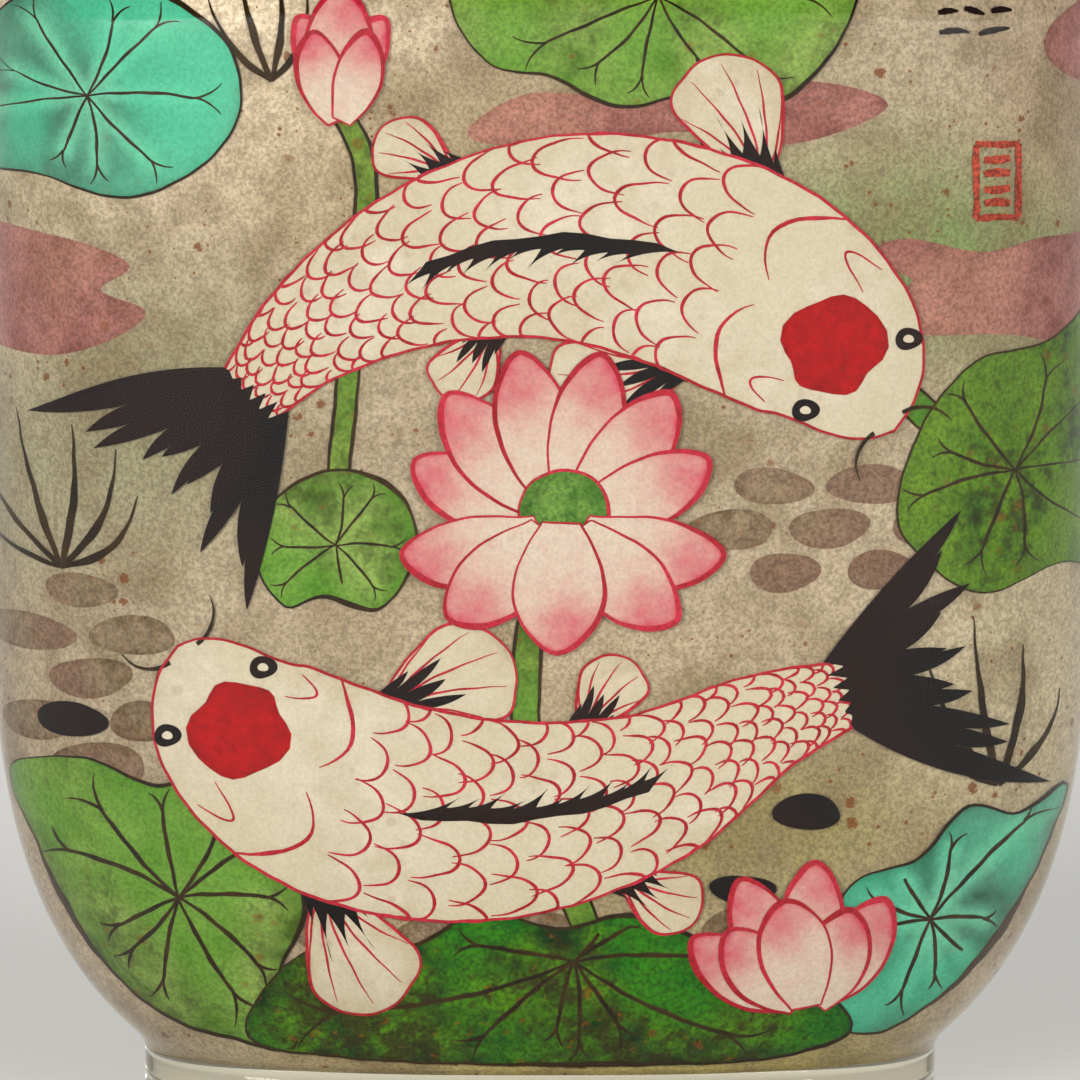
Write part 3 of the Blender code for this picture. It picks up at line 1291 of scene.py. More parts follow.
@dataclass
class Cloud(Motif):
    """A flat rose wash with a darker rim."""

    def paint(self, film: Film) -> None:
        """Paints the wash."""
        film.fill(Finish.ROSE, self.edge(), self.layer, pooled(0.35, 0.35, 0.25))


@dataclass
class LotusLeaf(Motif):
    """A lotus leaf: a wavy blade, forked veins that fan out from its heart, and a brown outline."""

    finish: Finish
    heart: Point
    veins: int = 9
    vein_width: float = 0.14
    shade: float = 0.35
    rim: float = 0.25
    rim_reach: float = 0.5
    SHORTEST = 2.4  # a vein that would be shorter than this is left out
    FORK = 0.7  # how far along a vein forks
    SHADE_REACH = 4.5  # how far from the heart the shade between the veins reaches
    VEIN_REACH = 0.55  # how far from a vein the blade stays light
    VEIN = (0.6, 1.0, 1.1, 0.8)  # a vein's widths, from the heart on, as shares
    ARM = (0.8, 0.7)
    TIP = 0.04  # how fine a brush stroke ends

    def ribs(self, edge: np.ndarray) -> list[tuple[np.ndarray, ...]]:
        """The veins at even turns from the heart.

        Args:
            edge: the blade's edge.
        Returns:
            Each vein's path, with those of its fork's two arms.
        """
        spread, made = edge - np.array(self.heart), []
        turns = np.arctan2(spread[:, 1], spread[:, 0])
        for number in range(self.veins):
            off = (turns - math.tau * (number + 0.2 * math.sin(number * 2.3)) / self.veins) % math.tau
            run = spread[np.minimum(off, math.tau - off).argmin()]
            if np.hypot(*run) < self.SHORTEST:
                continue
            end = tuple(np.array(self.heart) + run * (self.FORK + 0.08 * math.sin(number * 2.7)))
            heading, length = math.degrees(math.atan2(run[1], run[0])), 0.2 * np.hypot(*run)
            forks = [bowed(end, aimed(end, heading + 30 * side, length), -0.1 * side) for side in (-1, 1)]
            rib = bowed(self.heart, end, 0.05 * math.sin(number * 1.9 + 1))
            made.append(tuple(inside(path, edge) for path in (rib, *forks)))
        return made

    def paint(self, film: Film) -> None:
        """Paints the blade, darker between its veins near the heart, then the veins and the outline.

        Args:
            film: what it is painted on.
        """
        edge, width = self.edge(), self.vein_width
        ribs = self.ribs(edge)
        lines = np.vstack([rib for rib, *_ in ribs])

        def tone(places: np.ndarray, rim: np.ndarray) -> np.ndarray:
            """How deep the blade's paint is.

            Args:
                places: places on the blade.
                rim: how far each is from the rim.
            Returns:
                The depth at each.
            """
            inmost = np.exp(-((distance_to(places, np.array([self.heart])) / self.SHADE_REACH) ** 2))
            between = 1 - np.exp(-((distance_to(places, lines) / self.VEIN_REACH) ** 2))
            shaded = self.shade * (0.3 * between + 1.3 * inmost * between)
            return 0.1 + shaded + self.rim * np.exp(-rim / self.rim_reach)

        film.fill(self.finish, edge, self.layer, tone)
        for rib, *forks in ribs:
            film.stroke(Finish.BROWN_INK, rib, [width * share for share in self.VEIN], self.layer + 0.6)
            for fork in forks:
                if len(fork) > 3:
                    arm = (*(width * share for share in self.ARM), self.TIP)
                    film.stroke(Finish.BROWN_INK, fork, arm, self.layer + 0.6)
        self.line_round(film, Finish.BROWN_INK, edge, 0.14, self.layer + 0.9)


@dataclass
class Stem:
    """A green stalk with a brown line down each side."""

    path: Sequence[Point]
    width: float
    layer: float

    def paint(self, film: Film) -> None:
        """Paints the stalk and its two edges.

        Args:
            film: what it is painted on.
        """
        middle = curve(self.path)
        film.stroke(Finish.STEM, middle, (self.width, self.width * 0.92), self.layer, shake=0.0)
        side = sideways(middle) * self.width / 2
        for edge in (middle + side, middle - side):
            film.stroke(Finish.BROWN_INK, edge, (0.12, 0.2, 0.1, 0.18, 0.08), self.layer + 0.4)


@dataclass
class Petal:
    """One lotus petal: cream at its root, rose at its round tip, with a crimson outline."""

    root: Point
    degrees: float
    length: float
    width: float
    bow: float = 0.0

    def paint(self, film: Film, layer: float) -> None:
        """Paints the petal, its blush to one side of the tip, and its outline, heavier down that side.

        Args:
            film: what it is painted on.
            layer: which coat it is.
        """
        tip = aimed(self.root, self.degrees, self.length)
        spine = bowed(self.root, tip, self.bow, spacing=0.1)
        t = np.linspace(0, 1, len(spine))
        half = self.width / 2 * np.sin(math.pi * (0.08 + 0.92 * t**1.2)) ** 0.62
        half[-1] = 0.0
        side = sideways(spine) * half[:, None]
        edge = spaced(np.vstack((spine - side, (spine + side)[::-1][1:], (spine - side)[:1])), 0.18)[:-1]
        heavy = -1 if math.cos(math.radians(self.degrees)) < 0 else 1
        at = int(len(spine) * 0.8)
        blush, run = spine[at] - side[at] * 0.3 * heavy, np.array(tip) - np.array(self.root)

        def tone(places: np.ndarray, rim: np.ndarray) -> np.ndarray:
            """How deep the petal's rose is.

            Args:
                places: places on the petal.
                rim: how far each is from the rim.
            Returns:
                The depth at each.
            """
            along = np.clip((places - np.array(self.root)) @ run / (run @ run), 0, 1)
            pool = np.exp(-(((places - blush) ** 2).sum(axis=1)) / (0.27 * self.length) ** 2)
            return np.clip(0.05 + 0.62 * pool + 0.6 * along**2 * np.exp(-rim / 0.22), 0, 1)

        film.fill(Finish.PETAL, edge, layer, tone, cell=0.25)
        widths = (0.08, 0.13, 0.22, 0.3, 0.14, 0.11, 0.08)[::heavy]
        film.stroke(Finish.CRIMSON, np.vstack((edge, edge[:2])), widths, layer + 0.15, shake=0.02)


@dataclass
class Lotus:
    """A lotus: a green seed pod in a bowl of petals."""

    back: Sequence[Petal]
    pod: Sequence[Point]
    front: Sequence[Petal]
    layer: float
    PETAL_STEP = 0.45  # how many coats each petal lies above the last

    def paint(self, film: Film) -> None:
        """Paints the flower from its back petals to its front ones.

        Args:
            film: what it is painted on.
        """
        layer = self.layer
        for petal in self.back:
            petal.paint(film, layer)
            layer += self.PETAL_STEP
        if self.pod:
            pod = curve(self.pod, closed=True, spacing=0.22)
            film.fill(Finish.POD, pod, layer, pooled(0.3, 0.3, 0.4), cell=0.3)
            film.stroke(Finish.CRIMSON, np.vstack((pod, pod[:2])), (0.1, 0.18, 0.1), layer + 0.15)
        for petal in self.front:
            layer += self.PETAL_STEP
            petal.paint(film, layer)


@dataclass
class Grass:
    """A tuft of grass: ink blades that fan out and droop from one root."""

    root: Point
    blades: Sequence[tuple[float, float, float]]
    layer: float
    width: float = 0.3

    def paint(self, film: Film) -> None:
        """Paints each blade from its root to its tip.

        Args:
            film: what it is painted on.
        """
        widths = (self.width * 0.6, self.width, self.width * 0.5, 0.04)
        for degrees, length, bow in self.blades:
            path = bowed(self.root, aimed(self.root, degrees, length), bow)
            film.stroke(Finish.BROWN_INK, path, widths, self.layer)


@dataclass
class Carp:
    """A white carp seen from above: crimson scales, a red cap, and fins and a tail in black ink."""

    spine: Sequence[Point]
    width: float
    layer: float
    abreast: int = 5
    CHEST = 0.3  # where the body is widest, as a share of its length from the nose
    ROOT = 0.26  # the tail root's width, as a share of the widest
    GILL = 0.24  # where the head ends
    TAIL = 0.97  # where the tail starts
    FINGERS = 11  # how many points the tail has
    FINS = ((0.3, 6.4), (0.62, 4.0))  # where each pair of fins is, and its longest ray
    RAYS = ((14, 0.82), (30, 0.98), (46, 1.0), (62, 0.9), (78, 0.66))  # a ray's lean and length
    STEP = 0.15

    def __post_init__(self) -> None:
        """Works out the middle line and how wide the body is along it."""
        self.middle = curve(self.spine, spacing=self.STEP)
        self.side = sideways(self.middle)
        self.length = self.STEP * (len(self.middle) - 1)
        self.shares = np.linspace(0, 1, len(self.middle))
        nose = (1 - np.maximum(1 - self.shares / self.CHEST, 0) ** 2.2) ** 0.55
        tapered = np.clip((self.shares - self.CHEST) / (1 - self.CHEST), 0, 1) * math.pi / 2
        taper = self.ROOT + (1 - self.ROOT) * np.maximum(np.cos(tapered), 0) ** 1.1
        self.half = self.width / 2 * np.minimum(nose, taper)

    def at(self, along: object, across: object) -> np.ndarray:
        """Places on the body.

        Args:
            along: from the nose at 0 to the tail's root at 1.
            across: from the right edge at -1 to the left one at 1, as seen towards the tail.
        Returns:
            One point for each.
        """
        along, across = np.broadcast_arrays(np.atleast_1d(along), across)
        place, side = (
            np.column_stack([np.interp(along, self.shares, line[:, axis]) for axis in (0, 1)])
            for line in (self.middle, self.side)
        )
        return place + side * (np.interp(along, self.shares, self.half) * across)[:, None]

    def heading(self, along: float) -> float:
        """The direction towards the tail at a place along the body, in degrees."""
        run = self.at(along + 0.02, 0.0)[0] - self.at(along - 0.02, 0.0)[0]
        return math.degrees(math.atan2(run[1], run[0]))

    def paint(self, film: Film) -> None:
        """Paints the fins, the body over them, then the scales, the tail and the head.

        Args:
            film: what it is painted on.
        """
        for side in (1, -1):
            for along, length in self.FINS:
                self.paint_fin(film, along, side, length)
        turn = np.linspace(0, 1, 120)
        edge = spaced(np.vstack((self.at(turn, 1.0), self.at(turn[::-1], -1.0))), 0.25)[:-1]
        film.fill(Finish.WHITE, edge, self.layer, pooled(0.22, 0.3, 1.0))
        outline = (0.1, 0.17, 0.11, 0.16, 0.1, 0.17, 0.12)
        film.stroke(Finish.CRIMSON, np.vstack((edge, edge[:2])), outline, self.layer + 0.2)
        self.paint_scales(film)
        self.paint_tail(film)
        self.paint_back_fin(film)
        self.paint_head(film)

    def paint_tail(self, film: Film) -> None:
        """Fans the tail out in black, longest at its two tips.

        Args:
            film: what it is painted on.
        """
        heading, tips = self.heading(self.TAIL), []
        for number in range(self.FINGERS):
            lean = 2 * number / (self.FINGERS - 1) - 1
            root = tuple(self.at(self.TAIL, lean * 0.9)[0])
            length = 5.0 + 4.2 * lean**2 + 0.7 * math.sin(number * 4.1)
            tips.append(aimed(root, heading + lean * 38 + 4 * math.sin(number * 2.9), length))
        across = np.linspace(-1.05, 1.05, self.FINGERS + 1)
        base = self.at(0.955 + 0.012 * np.sin(np.arange(self.FINGERS + 1) * 3.3), across)
        film.fill(Finish.INK, fringed(base, tips, 0.4), self.layer + 0.8, 0.4, cell=0.35)

    def paint_fin(self, film: Film, along: float, side: int, length: float) -> None:
        """Paints one fin: a white fan with a crimson rim, and black rays from its root.

        Args:
            film: what it is painted on.
            along: where its root lies on the body.
            side: 1 for the left edge or -1 for the right one.
            length: its longest ray.
        """
        root, back = tuple(self.at(along, side * 0.88)[0]), self.heading(along)
        rays = [aimed(root, back + side * lean, length * share) for lean, share in self.RAYS]
        fan = curve((root, *rays), closed=True)
        film.fill(Finish.WHITE, fan, self.layer - 1.2, pooled(0.35, 0.3, 0.5), cell=0.35)
        rim = (0.08, 0.15, 0.1, 0.16, 0.08)
        film.stroke(Finish.CRIMSON, np.vstack((fan, fan[:2])), rim, self.layer - 1.0)
        start = np.array(root)
        runs = [np.array(ray) - start for ray in rays]
        for run in runs:
            ray = bowed(root, tuple(start + run * 0.93), 0.05 * side)
            film.stroke(Finish.CRIMSON, ray, (0.05, 0.12, 0.1, 0.03), self.layer - 0.9)
        tips = [tuple(start + run * (0.5 + 0.12 * (number % 2))) for number, run in enumerate(runs)]
        base = self.at(np.linspace(along + 0.04, along - 0.03, 6), side * 0.9)
        film.fill(Finish.INK, fringed(base, tips, 0.62), self.layer - 0.5, 0.3, cell=0.3)

    def paint_scales(self, film: Film) -> None:
        """Paints staggered rows of scales, smaller as the body narrows.

        Args:
            film: what it is painted on.
        """
        widths = (0.05, 0.12, 0.17, 0.13, 0.05)
        bend = np.radians(np.linspace(-84, 84, 15))
        along, row = self.GILL + 0.05, 0
        while along < 0.95:
            step = 1.7 * float(np.interp(along, self.shares, self.half)) / self.abreast / self.length
            for place in range(self.abreast + row % 2):
                middle = (2 * place + 1 - row % 2) / self.abreast - 1
                swell = 1.05 + 0.28 * math.sin(row * 2.1 + place * 3.3)
                drift = 0.05 * math.sin(row * 5.3 + place * 1.9)
                across = np.clip(middle + drift + 1.04 / self.abreast * np.sin(bend), -1, 1)
                arc = spaced(self.at(along + step * swell * np.cos(bend), across), 0.2)
                film.stroke(Finish.CRIMSON, arc, widths, self.layer + 0.4, shake=0.05)
            along, row = along + step, row + 1

    def paint_back_fin(self, film: Film) -> None:
        """Lays the back fin's black rays along the middle, leaning to one side.

        Args:
            film: what it is painted on.
        """
        along = np.linspace(0.36, 0.68, 12)
        base = self.at(along, -0.04 + 0.02 * np.sin(along * 60))
        tips = self.at(along[1:] + 0.05, 0.24 + 0.05 * np.sin(along[1:] * 90))
        film.fill(Finish.INK, fringed(base, tips, 0.5), self.layer + 0.8, 0.4, cell=0.3)

    def paint_head(self, film: Film) -> None:
        """Paints the gill covers, the cap, the eyes and the barbels.

        Args:
            film: what it is painted on.
        """
        inward = np.linspace(0, 1, 14)
        turns = np.linspace(0, math.tau, 26, endpoint=False)
        for side in (1, -1):
            bulge = 0.06 * np.sin(inward * math.pi * 0.8)
            gill = self.at(self.GILL - 0.03 + bulge, side * (0.99 - 0.86 * inward))
            film.stroke(Finish.CRIMSON, gill, (0.1, 0.22, 0.18, 0.05), self.layer + 0.4)
            cheek = self.at(self.GILL - 0.09 + 0.04 * np.sin(inward * math.pi), side * (0.9 - 0.3 * inward))
            film.stroke(Finish.CRIMSON, cheek, (0.05, 0.14, 0.05), self.layer + 0.4)
        swell = 1 + 0.1 * np.sin(3 * turns + 1) + 0.06 * np.sin(5 * turns)
        cap = self.at(0.13 + 0.062 * swell * np.cos(turns), 0.56 * swell * np.sin(turns))
        film.fill(Finish.VERMILION, cap, self.layer + 0.8, pooled(0.25, 0.3, 0.3), 0.3)
        for side in (1, -1):
            eye = tuple(self.at(0.085, side * 0.8)[0])
            film.fill(Finish.INK, oval(eye, 0.62, 0.56, 1), self.layer + 0.9, 0.0, 0.3)
            film.fill(Finish.WHITE, oval(eye, 0.24, 0.2, 2), self.layer + 1.1, 0.0, 0.3)
            lip = tuple(self.at(0.012, side * 0.6)[0])
            whisker = bowed(lip, aimed(lip, self.heading(0.03) + 180 - side * 48, 2.4), -0.2 * side)
            film.stroke(Finish.BROWN_INK, whisker, (0.22, 0.16, 0.04), self.layer + 0.3)


# The picture


@dataclass
class Picture:
    """The painting on one side of the bottle, which its subclass fills."""

    wall: InsideWall
    face: Face

    def lay(self, name: str, motifs: Sequence[object]) -> None:
        """Paints motifs as one piece, in their order.

        Args:
            name: the piece's name.
            motifs: what it shows.
        """
        film = Film(f"{self.face.name.lower()}_{name}", self.wall, self.face)
        for motif in motifs:
            motif.paint(film)
        film.make()


@dataclass
class Pebbles:
    """Rows of flat pebbles in thin wash within an oval patch, each a little unlike the last."""

    middle: Point
    reach: Point
    layer: float
    step: Point = (4.5, 2.15)
    SIDE = 24.5  # no pebble lies farther across, where the turning wall would draw it out long

    def paint(self, film: Film) -> None:
        """Paints the rows, half a pebble apart.

        Args:
            film: what it is painted on.
        """
        rows, columns = (round(self.reach[axis] / self.step[axis]) for axis in (1, 0))
        for row in range(-rows, rows + 1):
            for column in range(-columns, columns + 1):
                number = row * 17 + column
                drift = math.sin(number * 12.9)
                across = (column + 0.5 * (row % 2)) * self.step[0] + drift * 0.5
                up = row * self.step[1] + drift * 0.2
                away = (across / self.reach[0]) ** 2 + (up / self.reach[1]) ** 2
                if away > 1 or abs(self.middle[0] + across) > self.SIDE:
                    continue
                wide, tall = 1.9 + 0.35 * math.sin(number * 5.3), 0.95 + 0.12 * drift
                edge = oval((self.middle[0] + across, self.middle[1] + up), wide, tall, number)
                film.fill(Finish.PEBBLE, edge, self.layer, pooled(0.3 + 0.25 * drift, 0.3, 0.15), cell=0.4)


@dataclass
class BlackStone:
    """A flat stone in black ink."""

    middle: Point
    wide: float
    tall: float
    layer: float

    def paint(self, film: Film) -> None:
        """Paints the stone."""
        edge = oval(self.middle, self.wide, self.tall, round(self.wide * 10))
        film.fill(Finish.INK, edge, self.layer, 0.3, cell=0.35)


@dataclass
class Seal:
    """A red seal block: a frame around plain bars, with no letters."""

    low: Point
    high: Point
    layer: float
    BARS = 4

    def paint(self, film: Film) -> None:
        """Paints the frame and the bars.

        Args:
            film: what it is painted on.
        """
        (left, bottom), (right, top) = self.low, self.high
        corners = ((left, bottom), (right, bottom), (right, top), (left, top), (left, bottom))
        for start, end in zip(corners, corners[1:]):
            film.stroke(Finish.SEAL, bowed(start, end, 0.01, 0.2), (0.3, 0.36, 0.28, 0.34), self.layer)
        for bar in range(self.BARS):
            height = bottom + (top - bottom) * (bar + 1) / (self.BARS + 1)
            path = bowed((left + 0.4, height), (right - 0.4, height), 0.05 * (-1) ** bar, 0.15)
            film.stroke(Finish.SEAL, path, (0.3, 0.42, 0.34), self.layer)


@dataclass
class InkRows:
    """Rows of short ink strokes, one above the other, that aren't letters."""

    across: Point
    up: Point
    layer: float
    spacing: float = 0.95

    def paint(self, film: Film) -> None:
        """Paints two or three dabs in each row.

        Args:
            film: what it is painted on.
        """
        (left, right), (bottom, top) = self.across, self.up
        for row in range(round((top - bottom) / self.spacing)):
            height = bottom + row * self.spacing
            dabs = 2 + row % 2
            for dab in range(dabs):
                start = left + (right - left) * (dab + 0.08) / dabs
                end = left + (right - left) * (dab + 0.84) / dabs
                tilt = 0.14 * math.sin(row * 2.9 + dab * 1.7)
                path = bowed((start, height - tilt), (end, height + tilt), 0.05, 0.15)
                film.stroke(Finish.INK, path, (0.2, 0.32, 0.26, 0.1), self.layer, tone=0.0)


class FrontPicture(Picture):
    """Two carp that circle a lotus, among leaves."""

    def build(self) -> None:
        """Paints the front from what lies farthest to what lies nearest."""
        self.lay("distance", self.distance())
        self.lay("stems", self.stems())
        self.lay("upper_leaves", self.upper_leaves())
        self.lay("lower_leaves", self.lower_leaves())
        self.lay("upper_carp", (self.upper_carp(),))
        self.lay("lower_carp", (self.lower_carp(),))
        self.lay("lotus", self.flowers())
        self.lay("marks", self.marks())

    def distance(self) -> tuple:
        """Rose reflections of the evening sky, and the pebbles of the bed.

        Returns:
            The motifs, farthest first.
        """
        return (
            Cloud(((26.8, 32.6), (22.4, 33.6), (17.4, 33.8), (14.6, 35.2), (17.6, 36.2), (15.4, 37.4),
                   (17.2, 38.3), (21.0, 37.6), (24.0, 38.2), (26.8, 37.4)), 0.0),
            Cloud(((-3.4, 43.2), (1.2, 42.6), (6.4, 43.4), (11.8, 42.8), (16.4, 44.6), (12.4, 45.8),
                   (5.0, 45.0), (-0.6, 45.2)), 0.0),
            Cloud(((-26.8, 33.8), (-23.6, 32.6), (-20.4, 33.4), (-18.6, 34.8), (-20.8, 35.8), (-19.4, 37.0),
                   (-22.4, 38.2), (-26.8, 38.4)), 0.0),
            Pebbles((-21.2, 17.4), (5.6, 4.4), 0.2),
            Pebbles((13.6, 24.6), (5.4, 3.6), 0.2),
            Pebbles((0.0, 5.6), (9.6, 1.6), 0.2),
        )

    def stems(self) -> tuple:
        """Stalks and grass behind the leaves and the fish.

        Returns:
            The motifs, farthest first.
        """
        return (
            Stem(((0.8, 24.0), (-0.6, 18.6), (-0.2, 12.0), (2.8, 4.4)), 1.3, 1.0),
            Stem(((-9.4, 44.6), (-8.2, 41.4), (-8.6, 36.0), (-9.8, 24.0)), 1.0, 1.0),
            Stem(((6.4, 47.0), (9.4, 41.0), (14.0, 34.0), (20.6, 27.8)), 1.4, 1.0),
            Grass((-22.6, 22.6), ((146, 4.6, 0.1), (124, 6.4, 0.06), (104, 7.6, 0.03), (86, 6.8, -0.05),
                                  (66, 6.2, -0.12), (44, 5.0, -0.18)), 1.8, 0.4),
            Grass((21.6, 12.4), ((138, 5.4, 0.12), (118, 7.2, 0.08), (98, 8.0, 0.02), (80, 6.6, -0.06),
                                 (58, 5.0, -0.12)), 1.8, 0.4),
            Grass((-12.6, 45.8), ((128, 5.0, 0.1), (106, 6.4, 0.04), (88, 5.6, -0.06), (70, 4.6, -0.14)),
                  1.8, 0.36),
        )

    def upper_leaves(self) -> tuple:
        """The leaves over the upper carp and at the right edge.

        Returns:
            The motifs, farthest first.
        """
        return (
            LotusLeaf(((-26.8, 45.4), (-24.8, 49.0), (-21.6, 50.6), (-17.8, 49.8), (-14.6, 47.4),
                       (-14.2, 44.0), (-16.4, 41.4), (-19.8, 40.2), (-23.6, 41.2), (-26.8, 41.6)), 2.4,
                       Finish.TEAL, (-21.4, 45.0), 9, 0.14, 0.5),
            LotusLeaf(((-4.4, 50.4), (-2.6, 46.8), (0.6, 46.0), (3.8, 44.6), (7.8, 45.4), (11.0, 44.8),
                       (13.6, 47.0), (15.0, 50.4), (13.4, 54.4), (8.6, 56.6), (2.6, 56.4), (-2.2, 54.4)),
                       2.6, Finish.OLIVE, (5.6, 49.8), 11),
            LotusLeaf(((16.8, 25.2), (18.0, 29.4), (20.6, 32.4), (23.8, 33.2), (26.9, 35.0), (26.9, 22.0),
                       (24.4, 22.6), (21.0, 21.4), (18.4, 22.8)), 2.4, Finish.MOSS, (22.4, 27.2), 9, 0.16),
            LotusLeaf(((-13.4, 23.4), (-12.2, 26.2), (-9.2, 27.4), (-6.4, 26.0), (-5.9, 23.2), (-7.6, 20.8),
                       (-10.2, 21.4), (-12.0, 20.9)), 2.4, Finish.OLIVE, (-9.6, 23.8), 8, 0.12),
        )

    def lower_leaves(self) -> tuple:
        """The leaves along the bottom, with the black stones.

        Returns:
            The motifs, farthest first.
        """
        return (
            LotusLeaf(((-24.5, 13.0), (-21.4, 13.6), (-18.2, 12.4), (-15.0, 12.9), (-12.4, 10.4),
                       (-11.0, 6.8), (-12.2, 3.6), (-11.4, 0.5), (-14.4, 0.9), (-17.5, 1.9), (-20.0, 3.8),
                       (-21.9, 6.4), (-23.4, 9.6)), 2.4, Finish.OLIVE, (-17.0, 7.2), 11, 0.2, 0.4, 0.35,
                       0.7),
            LotusLeaf(((13.4, 4.4), (14.6, 7.8), (17.8, 9.0), (20.2, 11.4), (22.4, 11.0), (24.4, 12.2),
                       (23.5, 9.4), (22.0, 6.4), (20.0, 3.8), (17.5, 1.9), (15.2, 1.1), (13.2, 1.9)), 2.4,
                       Finish.TEAL, (18.4, 6.2), 9, 0.18, 0.55, 0.3, 0.6),
            LotusLeaf(((-13.6, 0.9), (-12.4, 3.6), (-9.4, 5.4), (-6.0, 5.0), (-2.8, 6.6), (0.8, 5.8),
                       (4.4, 6.4), (8.2, 5.0), (11.4, 4.2), (14.6, 1.4), (10.4, -0.05), (4.0, -0.3),
                       (-2.6, -0.3), (-9.0, 0.0)), 4.0, Finish.GREEN, (1.6, 4.3), 13, 0.2, 0.4, 0.45,
                       0.9),
            BlackStone((-22.0, 15.4), 1.6, 0.8, 5.2),
            BlackStone((12.5, 11.2), 1.7, 0.8, 5.2),
            BlackStone((9.5, 7.6), 1.5, 0.7, 5.2),
        )

    def upper_carp(self) -> Carp:
        """The carp that swims round to the right.

        Returns:
            The carp.
        """
        spine = ((16.6, 29.2), (13.4, 33.6), (8.0, 37.0), (1.6, 38.4), (-4.8, 37.3), (-10.4, 34.2),
                 (-14.6, 29.8))
        return Carp(spine, 10.6, 6.6)

    def lower_carp(self) -> Carp:
        """The carp that swims round to the left.

        Returns:
            The carp.
        """
        spine = ((-17.0, 19.0), (-13.8, 14.8), (-8.4, 11.8), (-1.8, 10.9), (4.8, 12.2), (10.6, 15.4),
                 (15.8, 17.2))
        return Carp(spine, 10.0, 6.6)

    def flowers(self) -> tuple:
        """The open lotus in the middle, a half-open one below and a bud above.

        Returns:
            The motifs, farthest first.
        """
        return (
            Lotus(
                (Petal((0.2, 25.4), 158, 6.6, 3.2, 0.06), Petal((0.4, 25.6), 131, 7.2, 3.4, 0.04),
                 Petal((0.8, 25.8), 104, 7.4, 3.5, 0.02), Petal((1.2, 25.8), 77, 7.3, 3.4, -0.02),
                 Petal((1.6, 25.6), 50, 7.1, 3.4, -0.04), Petal((1.8, 25.4), 23, 6.6, 3.2, -0.06)),
                ((-1.0, 25.2), (-0.4, 26.8), (1.2, 27.4), (2.8, 26.7), (3.2, 25.0), (2.0, 23.8),
                 (0.0, 23.8)),
                (Petal((0.0, 24.6), 190, 6.6, 3.3, 0.08), Petal((2.0, 24.6), -10, 6.7, 3.3, -0.08),
                 Petal((0.2, 24.6), 222, 6.2, 3.6, 0.05), Petal((1.8, 24.6), -43, 6.3, 3.6, -0.05),
                 Petal((1.0, 24.9), 268, 6.2, 4.3, 0.0)),
                8.4,
            ),
            Lotus(
                (Petal((12.0, 2.6), 150, 5.6, 2.8, 0.06), Petal((12.2, 2.8), 118, 6.0, 2.9, 0.03),
                 Petal((12.5, 2.9), 86, 6.0, 2.9, 0.0), Petal((12.9, 2.6), 54, 5.6, 2.8, -0.05)),
                (),
                (Petal((12.0, 2.4), 134, 4.6, 2.9, 0.05), Petal((12.8, 2.4), 68, 4.6, 2.9, -0.05),
                 Petal((12.4, 2.2), 101, 5.0, 3.4, 0.0)),
                7.0,
            ),
            Lotus(
                (Petal((-9.5, 44.2), 112, 5.0, 2.2, -0.06), Petal((-9.3, 44.2), 66, 5.0, 2.2, 0.06)),
                (),
                (Petal((-9.4, 44.0), 90, 6.2, 3.2, 0.0), Petal((-9.5, 43.9), 104, 4.4, 2.2, 0.05),
                 Petal((-9.3, 43.9), 75, 4.4, 2.2, -0.05)),
                7.0,
            ),
        )

    def marks(self) -> tuple:
        """Rows of ink strokes that aren't letters, and a red block under them."""
        return (InkRows((18.7, 22.5), (48.0, 57.0), 2.0), Seal((20.6, 39.2), (22.6, 42.7), 2.0))


class BackPicture(Picture):
    """The side that the photograph doesn't show: one leaf, a bud and pebbles, kept plain."""

    def build(self) -> None:
        """Paints the back."""
        self.lay("distance", (
            Cloud(((-26.0, 46.0), (-20.0, 45.0), (-14.0, 45.6), (-10.6, 46.8), (-14.0, 48.2), (-20.0, 49.0),
                   (-26.4, 50.0)), 0.0),
            Pebbles((-2.0, 8.0), (14.0, 4.0), 0.2),
        ))
        self.lay("lotus", (
            Stem(((9.0, 33.0), (7.4, 26.0), (4.0, 18.0), (2.6, 9.0)), 1.4, 1.0),
            Stem(((-6.0, 29.6), (-4.6, 22.0), (-1.8, 14.0), (-0.6, 8.4)), 1.0, 1.0),
            Grass((-14.0, 9.0), ((118, 9.0, 0.08), (104, 11.0, 0.04), (88, 10.0, -0.05), (72, 9.0, -0.1),
                                 (56, 7.5, -0.14)), 2.0, 0.36),
            LotusLeaf(((-2.4, 38.0), (1.2, 42.2), (7.0, 44.4), (13.4, 43.6), (18.6, 40.2), (20.6, 35.2),
                       (17.6, 31.0), (12.0, 29.4), (6.0, 30.0), (0.6, 32.8)), 2.4, Finish.OLIVE,
                       (9.0, 36.6), 11, 0.18),
            Lotus(
                (Petal((-6.0, 29.2), 62, 6.4, 2.8, -0.08), Petal((-6.2, 29.2), 128, 6.4, 2.8, 0.08)),
                (),
                (Petal((-6.1, 29.2), 95, 7.6, 3.8, 0.0), Petal((-6.0, 29.0), 76, 5.4, 2.6, -0.06),
                 Petal((-6.2, 29.0), 114, 5.4, 2.6, 0.06)),
                5.0,
            ),
            LotusLeaf(((3.0, 2.2), (5.6, 6.6), (10.4, 9.4), (15.6, 10.6), (19.4, 9.0), (20.4, 6.2),
                       (17.0, 2.6), (11.0, 0.6)), 2.4, Finish.GREEN, (11.6, 5.2), 9, 0.24, 0.4, 0.55,
                       0.9),
        ))


# The stopper


